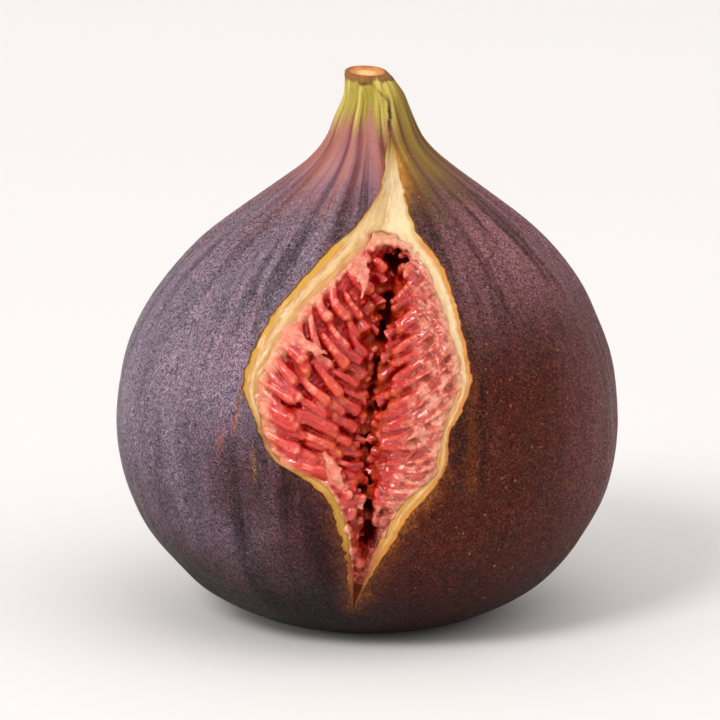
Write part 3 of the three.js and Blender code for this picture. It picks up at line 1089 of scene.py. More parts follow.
def ring_stack(rings: np.ndarray, first: np.ndarray, last: np.ndarray) -> tuple[np.ndarray, Faces]:
    """Joins rings with the same number of points into a closed surface that ends in a point each way.

    Args:
        rings: Rings, points and coordinates, in that order of axes.
        first: The point before the first ring.
        last: The point past the last ring.

    Returns:
        All points, with the two end points last, and the faces: bands in order, then the two fans.
    """
    count, sides = rings.shape[:2]
    points = np.concatenate([rings.reshape(-1, 3), [first, last]])
    faces: Faces = []
    for ring in range(count - 1):
        low, high = ring * sides, (ring + 1) * sides
        for side in range(sides):
            after = (side + 1) % sides
            faces.append((low + side, low + after, high + after, high + side))
    start, end, top = len(points) - 2, len(points) - 1, (count - 1) * sides
    faces += [(start, (side + 1) % sides, side) for side in range(sides)]
    faces += [(end, top + side, top + (side + 1) % sides) for side in range(sides)]
    return points, faces


@dataclass
class Fruit:
    """The fruit's one grown body: skin, torn rind, neck and the stalk's cut end."""

    form: FigForm
    skin_columns: int = 290
    rind_columns: int = 14
    hollow_columns: int = 10
    rows: int = 285
    crowding: float = 0.62
    edge_drop: float = 0.2
    edge_reach: float = 0.06
    jag: float = 0.13
    neck_ridges: int = 17
    ridge_height: float = 0.27
    crown: Pairs = ((0.07, 2.02), (0.1, 1.9), (0.08, 1.8), (0.0, 1.7), (-0.1, 1.6), (-0.14, 1.4), (-0.1, 0.8))
    rounding: float = 0.16
    arch_start: float = 0.9
    pucker_share: float = 0.55
    pucker_height: float = 0.54
    pucker_folds: int = 9
    pucker_fold: float = 0.12
    far_from_tear: float = 20.0

    def build(self) -> bpy.types.Object:
        """Builds and dresses the fruit.

        Returns:
            The piece `fig_fruit`.
        """
        heights = self.form.even_heights(self.rows)
        turns, rings, across, crests = self.rings(heights)
        top_turns, bottom_turns = turns[-1], turns[0]
        form = self.form
        eye = form.point(bottom_turns, 0.0, form.eye_radius)
        pucker = form.point(bottom_turns, 0.0, form.eye_radius * self.pucker_share)
        pucker[:, 2] += self.pucker_height + self.pucker_fold * np.cos(self.pucker_folds * bottom_turns)
        crown = [form.point(top_turns, form.stalk_top + up, wide) for up, wide in self.crown]
        half = crown[-1]
        stack = np.concatenate([[pucker, eye], rings, crown])
        points, faces = ring_stack(stack, np.array([form.lean(0), 0, form.eye_depth]), half.mean(axis=0))
        columns = stack.shape[1]
        skin_faces = np.arange(columns) < self.skin_columns - 1
        slots = np.ones((len(stack) - 1, columns), int)
        slots[:, skin_faces] = 0
        slots[: 2 + self.below_split(heights)] = 0
        slots[2 + self.past_split(heights) :] = 0
        slots[-4:] = 2
        crown_kept = np.repeat([[wide / form.cut_heart_radius] for _, wide in self.crown], columns, axis=1)
        kept = np.concatenate([np.full((2, columns), -1.0), across, crown_kept])
        all_slots = [*slots.ravel().tolist(), *[0] * columns, *[2] * columns]
        distance = self.tear_distance(stack.reshape(-1, 3))
        flat_ends = np.zeros(2 * columns), np.zeros(len(self.crown) * columns + 2)
        shell = Shell(points, faces, all_slots, {
            "across": np.concatenate([kept.ravel(), [-1.0, 0.0]]),
            "from_tear": np.concatenate([distance, [self.far_from_tear] * 2]),
            "crest": np.concatenate([flat_ends[0], crests.ravel(), flat_ends[1]]),
        })
        skin = SkinFinish("bloomed_skin", specular=0.1, sheen=0.02, sheen_colour=rgb(226, 208, 222))
        rind = RindFinish("torn_rind", 0.42, 0.4, (1.0, 0.5, 0.2), 1.4, specular=0.4, coat=0.25)
        cut = CutFinish("stalk_cut", 0.6, 0.2, (1.0, 0.5, 0.2), 0.8, specular=0.3)
        return shell.piece("fig_fruit", [skin.material(), rind.material(), cut.material()])

    def below_split(self, heights: np.ndarray) -> int:
        """How many rows lie wholly under the split."""
        return int(np.searchsorted(heights, self.form.split_low)) - 1

    def past_split(self, heights: np.ndarray) -> int:
        """The number of the first row over the split."""
        return int(np.searchsorted(heights, self.form.split_high))

    def rim(self, side: Side, height: np.ndarray) -> np.ndarray:
        """Where the torn edge of the skin runs, sideways, with its small teeth.

        Args:
            side: Which edge.
            height: Heights.

        Returns:
            Places sideways.
        """
        form = self.form
        plain = SmoothCurve(form.split_right if side is Side.RIGHT else form.split_left)(height)
        spot = np.stack([height, height * 0, height * 0 + side.value * 40], -1)
        teeth = Ripples(1.5, 5)(spot) * 0.7 + Ripples(0.6, 6)(spot) * 0.6
        rough = np.where(side is Side.LEFT, smooth_step(22, 18, height) * 0.7 + 0.55, 0.55)
        inside = smooth_step(form.split_low, form.split_low + 3, height)
        inside = inside * smooth_step(form.split_high, form.split_high - 4, height)
        return plain + self.jag * teeth * rough * inside

    def rings(self, heights: np.ndarray) -> tuple[np.ndarray, np.ndarray, np.ndarray, np.ndarray]:
        """The rings of the fruit's side, each round the skin and back through the hollow behind the split.

        Args:
            heights: The rings' heights.

        Returns:
            The turn of every point, the points, how far across the rind each lies, and how high on a ridge.
        """
        form = self.form
        low, high = form.split_low, form.split_high
        held = np.clip(heights, low, high)
        open_share = ((heights > low) & (heights < high)).astype(float)[:, None]
        left, right = self.rim(Side.LEFT, held), self.rim(Side.RIGHT, held)
        seam = (left + right) / 2
        left, right = between(seam, left, open_share[:, 0]), between(seam, right, open_share[:, 0])
        radius, lean = form.radius(held), form.lean(held)
        start, end = np.arcsin((right - lean) / radius), np.arcsin((left - lean) / radius) + 2 * math.pi
        even = np.linspace(0, 1, self.skin_columns)
        share = even - self.crowding * np.sin(2 * math.pi * even) / (2 * math.pi)
        turns = between(start[:, None], end[:, None], share[None])
        tall = heights[:, None]
        rounded = self.rounding * smooth_step(form.stalk_top - 0.5, form.stalk_top, tall)
        skin = form.point(turns, tall, form.radius(tall) + form.relief(turns, tall) - rounded)
        raised, crests = self.wrinkles(skin, turns)
        skin = skin + raised[..., None] * self.outward(turns)
        inside, across = self.hollow(heights, left, right, skin[:, -1], skin[:, 0], open_share)
        seam_turns = np.repeat(end[:, None] - 2 * math.pi, inside.shape[1], axis=1)
        rings = np.concatenate([skin, inside], axis=1)
        kept = np.concatenate([np.full(turns.shape, -1.0), across], axis=1)
        crests = np.concatenate([crests, across * 0], axis=1)
        return np.concatenate([turns, seam_turns], axis=1), rings, kept, crests

    @staticmethod
    def outward(turns: np.ndarray) -> np.ndarray:
        """The level way out of the fruit at each turn."""
        return np.stack([np.sin(turns), -np.cos(turns), np.zeros_like(turns)], -1)

    def wrinkles(self, points: np.ndarray, turns: np.ndarray) -> tuple[np.ndarray, np.ndarray]:
        """Low waves, fine wrinkles and the ridges of the neck.

        Args:
            points: Points of the ribbed skin.
            turns: Radians round the fruit from the front towards +X.

        Returns:
            Millimetres outwards, and how high each point lies on the neck's ridges, from -1 to 1.
        """
        height = points[..., 2]
        round_fruit = np.stack([np.sin(turns), np.cos(turns), turns * 0], -1)
        lengthwise = round_fruit * 14 + np.stack([turns * 0, turns * 0, height * 0.12], -1)
        top = self.form.stalk_top
        shallow = smooth_step(0.2, 4, height) * smooth_step(top - 0.4, top - 2, height)
        neck = smooth_step(33, 45, height) * smooth_step(54, 51, height)
        drift = Ripples(10, 24)(lengthwise) * 0.9
        grooves = np.abs(np.sin(self.neck_ridges * turns / 2 + drift)) - 0.64
        fine = Ripples(1.1, 21)(lengthwise) * between(0.02, 0.035, neck)
        broad = Ripples(11, 22)(points) * 0.035 + Ripples(2.8, 23)(lengthwise) * 0.05
        return shallow * (broad + fine + neck * grooves * self.ridge_height), shallow * neck * grooves

    def hollow(
        self, heights: np.ndarray, left: np.ndarray, right: np.ndarray, left_rim: np.ndarray,
        right_rim: np.ndarray, open_share: np.ndarray,
    ) -> tuple[np.ndarray, np.ndarray]:
        """The torn faces of the rind and the floor of the hollow, from the left rim to the right one.

        Args:
            heights: The rings' heights.
            left: Where the left rim lies sideways.
            right: Where the right rim lies sideways.
            left_rim: The skin's last point on the left.
            right_rim: The skin's first point on the right.
            open_share: 1 where the split is open and 0 where it is shut.

        Returns:
            The points between the rims, and how far across the rind each lies.
        """
        form = self.form
        past = np.maximum(heights - form.pulp_high + self.arch_start, form.pulp_low - heights)
        bare = smooth_step(0, 1, past / form.arch_height)
        middle = between(form.crease(heights), (left + right) / 2, bare)
        inner_left = between(form.edge(Side.LEFT, heights), (left + middle) / 2, bare)
        inner_right = between(form.edge(Side.RIGHT, heights), (right + middle) / 2, bare)
        floor = SmoothCurve(form.hollow_depths)(heights)
        rind = np.minimum(form.rind_depth, floor * 0.5)
        steps = np.linspace(0, 1, self.rind_columns + 1)[1:]
        drop = self.edge_drop * (1 - np.exp(-steps / self.edge_reach))
        columns, depths, across = [], [], []
        for rim, inner in ((left, inner_left), (right, inner_right)):
            columns.append(between(rim[:, None], inner[:, None], steps))
            depth = drop * np.minimum(1, rind / form.rind_depth)[:, None]
            depths.append(depth + (rind[:, None] - depth[:, -1:]) * steps**1.4)
            across.append(np.repeat(steps[None], len(heights), axis=0))
        way = np.linspace(-1, 1, self.hollow_columns + 2)[1:-1]
        power = between(4.0, 1.0, bare)[:, None]
        floor_x = np.where(way < 0, between(middle[:, None], inner_left[:, None], -way),
                           between(middle[:, None], inner_right[:, None], way))
        floor_depth = between(rind[:, None], floor[:, None], 1 - np.abs(way) ** power)
        x = np.concatenate([columns[0], floor_x, columns[1][:, ::-1]], axis=1)
        depth = np.concatenate([depths[0], floor_depth, depths[1][:, ::-1]], axis=1)
        kept = np.concatenate([across[0], 1 + np.abs(1 - np.abs(np.repeat(way[None], len(heights), axis=0))),
                               across[1][:, ::-1]], axis=1)
        tall = np.repeat(heights[:, None], x.shape[1], axis=1)
        y = form.front(x, tall) + depth
        points = np.stack([x, y, tall], -1)
        lengthwise = np.stack([kept * 3, y * 0.2, tall * 0.3], -1)
        torn = Ripples(0.9, 31)(lengthwise) * 0.045 + Ripples(3, 32)(points) * 0.1
        points[..., 1] += torn * np.clip(kept * 4, 0, 1)
        near_left = np.clip(1 - np.arange(x.shape[1]) / self.rind_columns, 0, 1) ** 2
        for rim_point, rim_x, nearness in ((left_rim, left, near_left), (right_rim, right, near_left[::-1])):
            plain = np.stack([rim_x, form.front(rim_x, heights), heights], -1)
            points += (rim_point - plain)[:, None] * nearness[None, :, None]
        points = between(left_rim[:, None], points, open_share[..., None])
        return points, kept

    def tear_distance(self, points: np.ndarray) -> np.ndarray:
        """How far each point lies from the torn edge of the skin.

        Args:
            points: Points of the fruit.

        Returns:
            Millimetres, up to `far_from_tear`, which all points of the back get.
        """
        form = self.form
        height = np.linspace(form.split_low, form.split_high, 400)
        rims = (self.rim(side, height) for side in Side)
        spots = np.concatenate([np.stack([x, form.front(x, height), height], -1) for x in rims])
        near = points[:, 1] < 0
        distance = np.full(len(points), self.far_from_tear)
        distance[near] = np.minimum(self.far_from_tear, nearest_of(spots, points[near])[1])
        return distance


def relaxed(points: np.ndarray, edges: np.ndarray, rounds: int, pull: float = 0.5) -> np.ndarray:
    """Smooths points along a mesh's edges without shrinking what they form.

    Args:
        points: The points.
        edges: Pairs of numbers of joined points.
        rounds: How often to smooth.
        pull: How far each point goes towards its neighbours.

    Returns:
        The smoothed points.
    """
    here, there = np.concatenate([edges, edges[:, ::-1]]).T
    count = np.maximum(1, np.bincount(here, minlength=len(points)))[:, None]
    for step in range(rounds * 2):
        total = [np.bincount(here, points[there, axis], len(points)) for axis in range(3)]
        points = points + (pull if step % 2 == 0 else -pull * 0.9) * (np.stack(total, -1) / count - points)
    return points


def spread(values: np.ndarray, edges: np.ndarray, rounds: int) -> np.ndarray:
    """Evens out numbers along a mesh's edges.

    Args:
        values: A number for each point.
        edges: Pairs of numbers of joined points.
        rounds: How often each point takes half of its neighbours' mean.

    Returns:
        The evened numbers.
    """
    here, there = np.concatenate([edges, edges[:, ::-1]]).T
    count = np.maximum(1, np.bincount(here, minlength=len(values)))
    for _ in range(rounds):
        values = (values + np.bincount(here, values[there], len(values)) / count) / 2
    return values


@dataclass
class PulpBanks:
    """The two banks of pulp under the florets, the slit between them and the wet film over the right one."""

    form: FigForm
    rows: int = 190
    columns: int = 161
    reach: float = 1.1
    slit_depth: float = 1.9
    slit_width: float = 0.75
    film_lift: float = 0.4
    film_fall: float = 32
    pockets: tuple[HeartHole, ...] = (
        HeartHole(0.3, 15.9, 0.6, 0.8, 1.9), HeartHole(0.2, 18.0, 0.5, 1.0, 1.9),
        HeartHole(0.35, 21.4, 0.6, 1.0, 1.8), HeartHole(1.4, 25.2, 0.8, 1.0, 1.9),
        HeartHole(1.6, 31.3, 0.6, 0.9, 1.8),
    )
    hole_share: float = 0.85
    past_low: float = 1.0
    past_high: float = 0.9
    crowding: float = 1.35
    rim_tuck: float = 0.7
    rim_swell: float = 0.16
    end_tuck: float = 1.4
    back_gap: float = 0.5
    back_columns: int = 8

    def build(self) -> bpy.types.Object:
        """Builds the banks as one closed body.

        Returns:
            The body, in metres and with no finish yet.
        """
        form = self.form
        low, high = form.pulp_low - self.past_low, form.pulp_high + self.past_high
        heights = np.linspace(low, high, self.rows)[:, None]
        even = np.linspace(-1, 1, self.columns)[None]
        share = np.sign(even) * np.abs(even) ** self.crowding * self.reach
        left, right = form.bank(Side.LEFT, -share, heights), form.bank(Side.RIGHT, share, heights)
        face = np.where(share[..., None] < 0, left, right)
        face[..., 1] += self.dips(face, heights) - self.wrinkles(face, share, heights)
        face[..., 1] += smooth_step(1.03, self.reach, np.abs(share)) * self.rim_tuck
        face[..., 1] -= self.rim_swell * smooth_step(0.85, 0.97, np.abs(share))
        face[..., 1] += self.end_tuck * smooth_step(form.pulp_high - 0.5, high, heights)
        face[..., 1] += self.end_tuck * smooth_step(form.pulp_low + 0.4, low, heights)
        back_y = face[..., 1].max(axis=1, keepdims=True) + self.back_gap
        back_x = between(face[:, :1, 0], face[:, -1:, 0], np.linspace(1, 0, self.back_columns)[None])
        back = np.stack(np.broadcast_arrays(back_x, back_y, heights), -1)
        rings = np.concatenate([face, back], axis=1)
        points, faces = ring_stack(rings, rings[0].mean(axis=0), rings[-1].mean(axis=0))
        return Shell(points, faces).piece("pulp_banks", [])

    def dips(self, face: np.ndarray, heights: np.ndarray) -> np.ndarray:
        """How much deeper the slit and the hollows of the heart lie than the plain banks.

        Args:
            face: Points of the banks.
            heights: The height of each row of them.

        Returns:
            Millimetres away from the front.
        """
        form = self.form
        wander = 0.55 * Ripples(4, 41)(heights[..., None] * [0, 0, 1])
        off = np.abs(face[..., 0] - form.crease(heights) - wander)
        open_wide = smooth_step(17, 24, heights) * 0.5 + 0.5
        broken = smooth_step(-0.7, 0.9, Ripples(2.6, 48)(heights[..., None] * [0, 0, 1]))
        deeper = self.slit_depth * broken * np.exp(-((off / (self.slit_width * open_wide)) ** 2))
        top = form.pulp_high
        deeper = deeper * smooth_step(15.5, 18, heights) * smooth_step(top - 3, top - 6, heights)
        for hole in (*form.heart_holes, *self.pockets):
            sideways, upwards = face[..., 0] - hole.across, face[..., 2] - hole.height
            ragged = np.hypot(sideways / hole.wide, upwards / hole.tall) + 0.16 * Ripples(1.0, 44)(face)
            deeper = deeper + hole.deep * self.hole_share * smooth_step(1.0, 0.5, ragged)
        return deeper

    def wrinkles(self, face: np.ndarray, share: np.ndarray, heights: np.ndarray) -> np.ndarray:
        """How far lumps and the folds of the wet film stand out of the plain banks.

        Args:
            face: Points of the banks.
            share: Each point's share of the way to the rind, below 0 on the left.
            heights: The height of each row of them.

        Returns:
            Millimetres towards the front.
        """
        fall = math.radians(self.film_fall)
        sideways = np.sign(share)
        over = face[..., 0] * sideways * math.sin(fall) - face[..., 2] * math.cos(fall)
        along = face[..., 0] * sideways * math.cos(fall) + face[..., 2] * math.sin(fall)
        drawn = np.stack([over, along * 0.2, sideways * 20 + face[..., 1] * 0.2], -1)
        folds = 1 - np.minimum(1, np.abs(Ripples(1.7, 42)(drawn)) * 1.2)
        filmed = smooth_step(0.2, 0.5, share) * smooth_step(16, 21, heights) * smooth_step(38.5, 36, heights)
        filmed = filmed * smooth_step(1.05, 0.8, share)
        lumps = Ripples(0.9, 43)(drawn) * 0.06 + Ripples(1.6, 45)(face) * 0.07
        lumps = lumps + (1 - filmed) * Ripples(0.6, 47)(face) * 0.08
        low = smooth_step(18, 15, heights)
        creases = (1 - np.minimum(1, np.abs(Ripples(0.8, 46)(drawn)) * 1.3)) * 0.12
        film = filmed * (self.film_lift + folds * 0.45 + creases + lumps)
        return lumps * (1 + low) + film + folds * 0.08 - 0.05


class NodePiece:
    """A piece that a Geometry Nodes tree makes from a plain guide mesh."""

    def __init__(self, name: str) -> None:
        """Starts an empty tree with its geometry in and out.

        Args:
            name: The name of the piece and of its tree.
        """
        self.name = name
        self.tree = bpy.data.node_groups.new(name, "GeometryNodeTree")
        self.tree.interface.new_socket("Geometry", in_out="INPUT", socket_type="NodeSocketGeometry")
        self.tree.interface.new_socket("Geometry", in_out="OUTPUT", socket_type="NodeSocketGeometry")
        self.maker = NodeMaker(self.tree)
        self.given: dict[str, Any] = {}

    def size(self, name: str, value: Any) -> None:
        """Adds a named input with its value.

        Args:
            name: The input's name.
            value: A whole number or a fraction.
        """
        kind = "NodeSocketInt" if isinstance(value, int) else "NodeSocketFloat"
        socket = self.tree.interface.new_socket(name, in_out="INPUT", socket_type=kind)
        self.given[socket.identifier] = value

    def finish(self, shape: Value, material: bpy.types.Material) -> None:
        """Ends the tree: real geometry, smooth, with its material.

        Args:
            shape: The geometry so far.
            material: The finish.
        """
        real = self.maker.first("GeometryNodeRealizeInstances", {"Geometry": shape})
        smooth = self.maker.first("GeometryNodeSetShadeSmooth", {"Geometry": real})
        dressed = self.maker.first("GeometryNodeSetMaterial", {"Geometry": smooth, "Material": material})
        self.maker.node("NodeGroupOutput", None, {0: dressed})

    def piece(self, guide: bpy.types.Mesh) -> bpy.types.Object:
        """Runs the tree on a guide mesh and keeps the result as a plain mesh.

        Args:
            guide: Points or edges with the numbers that the tree reads.

        Returns:
            The finished piece at the origin.
        """
        source = placed(self.name + "_guide", guide)
        modifier = source.modifiers.new(self.name, "NODES")
        modifier.node_group = self.tree
        for identifier, value in self.given.items():
            modifier[identifier] = value
        source.update_tag()
        return plain_copy(source, self.name)


def plain_copy(source: bpy.types.Object, name: str) -> bpy.types.Object:
    """Turns an object with modifiers into one with a plain mesh, and removes the first.

    Args:
        source: The object. It is used up.
        name: The new object's name.

    Returns:
        The object with the plain mesh.
    """
    graph = bpy.context.evaluated_depsgraph_get()
    shown = source.evaluated_get(graph)
    mesh = bpy.data.meshes.new_from_object(shown, preserve_all_data_layers=True, depsgraph=graph)
    source.modifiers.clear()
    bpy.data.objects.remove(source)
    mesh.name = name
    return placed(name, mesh)


@dataclass(frozen=True)
class Spines:
    """The middle lines of all florets, with what is kept of each."""

    lines: np.ndarray
    girths: np.ndarray
    tints: np.ndarray


@dataclass
class Florets:
    """The slim florets that cover both banks, each from its root near the rind to its tip near the crease."""

    form: FigForm
    seed: int = 11
    girth: float = 0.6
    pitch: float = 0.84
    rank: float = 2.5
    length: float = 4.6
    film_reach: float = 0.66
    stagger: float = 0.4
    stops: tuple[float, float] = (0.3, 1.3)
    lift: float = 0.72
    low: float = 16.4
    high: float = 38.6
    falls: Pairs = ((15, -4), (18, 8), (24, 26), (30, 38), (38, 50))
    spine_points: int = 9
    rings: int = 9
    sides: int = 8
    wobble: float = 0.13
    wobble_size: float = 0.9

    def build(self, spines: Spines, material: bpy.types.Material) -> bpy.types.Object:
        """Builds the florets.

        Args:
            spines: Their middle lines.
            material: Their finish.

        Returns:
            All florets as one object.
        """
        maker = NodePiece("florets")
        sizes = {"Rings": self.rings, "Sides": self.sides, "Wobble": self.wobble * MM,
                 "Wobble size": self.wobble_size * MM, "Seed": float(self.seed)}
        for name, value in sizes.items():
            maker.size(name, value)
        nodes = maker.maker
        given = nodes.node("NodeGroupInput")
        spine = nodes.first("GeometryNodeMeshToCurve", {"Mesh": given.value("Geometry")})
        spine = nodes.first("GeometryNodeResampleCurve", {"Curve": spine, "Count": given.value("Rings")})
        along = nodes.node("GeometryNodeSplineParameter").value("Factor")
        taper = nodes.node("ShaderNodeFloatCurve", None, {"Value": along})
        self.shape_taper(taper.node)
        girth = nodes.node("GeometryNodeInputNamedAttribute", {"data_type": "FLOAT"}, {"Name": "girth"})
        width = taper.value() * girth.value("Attribute")
        spine = nodes.first("GeometryNodeSetCurveRadius", {"Curve": spine, "Radius": width})
        circle = {"Resolution": given.value("Sides"), "Radius": 1.0}
        ring = nodes.node("GeometryNodeCurvePrimitiveCircle", {"mode": "RADIUS"}, circle).value("Curve")
        sweep = {"Curve": spine, "Profile Curve": ring, "Fill Caps": True}
        tube = nodes.node("GeometryNodeCurveToMesh", None, sweep)
        scale = tube.node.inputs.get("Scale")
        if scale is not None:
            nodes.feed(scale, nodes.first("GeometryNodeInputRadius"))
        place = {0: nodes.first("GeometryNodeInputPosition"), 1: given.value("Wobble size")}
        spot = nodes.first("ShaderNodeVectorMath", place, {"operation": "DIVIDE"})
        lumps = {"Vector": spot, "W": given.value("Seed"), "Scale": 1.0, "Detail": 1.0}
        bumps = nodes.first("ShaderNodeTexNoise", lumps, {"noise_dimensions": "4D"})
        outward = nodes.first("GeometryNodeInputNormal")
        reach = {0: outward, "Scale": (bumps - 0.5) * given.value("Wobble") * 2}
        push = nodes.first("ShaderNodeVectorMath", reach, {"operation": "SCALE"})
        moved = nodes.first("GeometryNodeSetPosition", {"Geometry": tube.value(), "Offset": push})
        maker.finish(moved, material)
        girths = np.repeat(spines.girths * MM, self.spine_points)
        return maker.piece(chains("florets_guide", spines.lines, {"girth": girths}))

    @staticmethod
    def shape_taper(node: bpy.types.Node) -> None:
        """Sets how thick a floret is along its length: slim root, full belly, round tip.

        Args:
            node: The Float Curve node that holds it.
        """
        curve = node.mapping.curves[0]
        stops = ((0.0, 0.5), (0.2, 0.72), (0.5, 0.8), (0.78, 1.0), (0.9, 0.95), (0.97, 0.62), (1.0, 0.2))
        curve.points[0].location, curve.points[1].location = stops[0], stops[-1]
        for stop in stops[1:-1]:
            curve.points.new(*stop)
        node.mapping.update()

    def spines(self) -> Spines:
        """Lays the florets' middle lines in ranks down both banks.

        Returns:
            The lines with their girths and tints.
        """
        draw = np.random.default_rng(self.seed)
        lines, girths, tints = [], [], []
        for side in Side:
            height, row = self.low, 0
            while height < self.high:
                width = float(abs(self.form.edge(side, height) - self.form.crease(height)))
                cover = self.film_reach if side is Side.RIGHT and height > 18 else 1.0
                count = max(1, round(width * cover / self.rank))
                for i in range(count):
                    back = (row % 2) * self.stagger * (i < count - 1)
                    share = (i + 1 - back - 0.12 * draw.random()) / count
                    lines.append(self.spine(side, share * cover, height, width, draw))
                    girths.append(self.girth * draw.uniform(0.74, 1.3))
                    tints.append(draw.random())
                fall = math.radians(float(SmoothCurve(self.falls)(height)))
                height += self.pitch / math.cos(fall)
                row += 1
        return Spines(np.array(lines), np.array(girths), np.array(tints))

    def spine(
        self, side: Side, share: float, height: float, width: float, draw: np.random.Generator
    ) -> np.ndarray:
        """One floret's middle line on its bank.

        Args:
            side: Which bank it grows on.
            share: Where its root is, 0 at the crease and 1 at the rind.
            height: Its root's height.
            width: How wide the bank is there.
            draw: The seeded source of its differences.

        Returns:
            The line's points.
        """
        along = np.linspace(0, 1, self.spine_points)
        fall = math.radians(float(SmoothCurve(self.falls)(height)) + draw.uniform(-10, 10))
        room = (share * width - draw.uniform(*self.stops)) / math.cos(fall)
        length = max(1.1, min(self.length * draw.uniform(0.75, 1.2), room))
        start = height + draw.uniform(-0.2, 0.2)
        bend = draw.uniform(-0.35, 0.35) * np.sin(math.pi * along)
        shares = share - along * length * math.cos(fall) / width
        heights = start - along * length * math.sin(fall) + bend
        rise = between(0.0, self.lift * draw.uniform(0.7, 1.3), along**0.7)
        return self.form.bank(side, np.maximum(0.02, shares), heights, rise)


def chains(name: str, lines: np.ndarray, kept: dict[str, np.ndarray]) -> bpy.types.Mesh:
    """A guide mesh of open lines.

    Args:
        name: The mesh's name.
        lines: Lines, points and coordinates in millimetres, in that order of axes.
        kept: Numbers for every point.

    Returns:
        The mesh, in metres.
    """
    count, length = lines.shape[:2]
    edges = [(line * length + i, line * length + i + 1) for line in range(count) for i in range(length - 1)]
    mesh = bpy.data.meshes.new(name)
    mesh.from_pydata((lines.reshape(-1, 3) * MM).tolist(), edges, [])
    keep(mesh, kept)
    return mesh


@dataclass(frozen=True)
class Lobe:
    """A rounded lump of flesh: where it lies sideways and in height, its depth under the skin, its radius."""

    across: float
    height: float
    depth: float
    radius: float


@dataclass
class Buds:
    """Round seed ends that crowd along the crease, and the lobes of flesh round the heart's openings."""

    form: FigForm
    seed: int = 29
    count: int = 110
    radius: float = 0.4
    low: float = 15.5
    high: float = 35.5
    nearest: float = 0.3
    farthest: float = 1.5
    length_share: float = 1.35
    lobes: tuple[Lobe, ...] = (
        Lobe(-0.1, 38.7, 1.3, 0.5), Lobe(0.45, 39.4, 1.3, 0.45), Lobe(1.2, 39.9, 1.2, 0.5),
        Lobe(2.0, 40.0, 1.2, 0.38), Lobe(2.7, 39.9, 1.2, 0.5), Lobe(3.4, 39.8, 1.2, 0.4),
        Lobe(4.2, 39.5, 1.2, 0.45), Lobe(5.1, 38.9, 1.2, 0.5), Lobe(-2.0, 17.6, 1.1, 0.6),
        Lobe(-1.5, 15.7, 1.2, 0.62), Lobe(-1.9, 14.1, 0.9, 0.45), Lobe(-1.3, 11.8, 1.1, 0.5),
        Lobe(-0.6, 10.4, 1.1, 0.55), Lobe(1.6, 11.0, 1.1, 0.5), Lobe(2.1, 13.0, 1.1, 0.5),
        Lobe(1.6, 14.8, 1.3, 0.55), Lobe(3.5, 37.2, 4.6, 0.6), Lobe(3.4, 38.6, 3.2, 0.35),
        Lobe(0.85, 14.6, 1.9, 0.42), Lobe(-0.75, 14.7, 1.9, 0.45), Lobe(-0.5, 17.0, 2.0, 0.5),
        Lobe(1.1, 17.4, 2.0, 0.5),
    )

    def spots(self) -> tuple[np.ndarray, np.ndarray]:
        """Lays out all lumps, the seed ends first.

        Returns:
            The places and the radii.
        """
        draw = np.random.default_rng(self.seed)
        spots, sizes = [], []
        for _ in range(self.count):
            height, side = draw.uniform(self.low, self.high), Side(int(draw.choice([-1, 1])))
            width = float(abs(self.form.edge(side, height) - self.form.crease(height)))
            share = min(0.9, draw.uniform(self.nearest, self.farthest) / width)
            size = self.radius * draw.uniform(0.62, 1.15)
            spots.append(self.form.bank(side, share, height, draw.uniform(-1.0, 0.2)))
            sizes.append(size)
        for lobe in self.lobes:
            depth = float(self.form.front(lobe.across, lobe.height)) + lobe.depth
            spots.append(np.array([lobe.across, depth, lobe.height]))
            sizes.append(lobe.radius)
        return np.array(spots), np.array(sizes)

    def build(self, material: bpy.types.Material) -> bpy.types.Object:
        """Builds the lumps.

        Args:
            material: Their finish.

        Returns:
            All lumps as one object.
        """
        spots, sizes = self.spots()
        mesh = bpy.data.meshes.new("buds_guide")
        mesh.from_pydata((spots * MM).tolist(), [], [])
        keep(mesh, {"girth": sizes * MM})
        maker = NodePiece("buds")
        maker.size("Long", self.length_share)
        maker.size("Seed", self.seed)
        nodes = maker.maker
        given = nodes.node("NodeGroupInput")
        ball = nodes.first("GeometryNodeMeshIcoSphere", {"Radius": 1.0, "Subdivisions": 2})
        girth = nodes.node("GeometryNodeInputNamedAttribute", {"data_type": "FLOAT"}, {"Name": "girth"})
        wide = girth.value("Attribute")
        scale = nodes.first("ShaderNodeCombineXYZ", {"X": wide, "Y": wide, "Z": wide * given.value("Long")})
        limits = {"Min": (-3.0, -3.0, -3.0), "Max": (3.0, 3.0, 3.0), "Seed": given.value("Seed")}
        turn = nodes.node("FunctionNodeRandomValue", {"data_type": "FLOAT_VECTOR"}, limits)
        turned = next(o for o in turn.node.outputs if o.type == "VECTOR" and o.enabled)
        each = {"Instance": ball, "Scale": scale, "Rotation": Value(nodes, turned)}
        crowd = nodes.first("GeometryNodeInstanceOnPoints", {"Points": given.value("Geometry"), **each})
        maker.finish(crowd, material)
        return maker.piece(mesh)


@dataclass(frozen=True)
class TornSheet:
    """A thin torn skin: its middle line sideways, in height and in depth, its widths and its turn."""

    middle: tuple[tuple[float, float, float], ...]
    widths: tuple[float, ...]
    turn: float
    seed: int


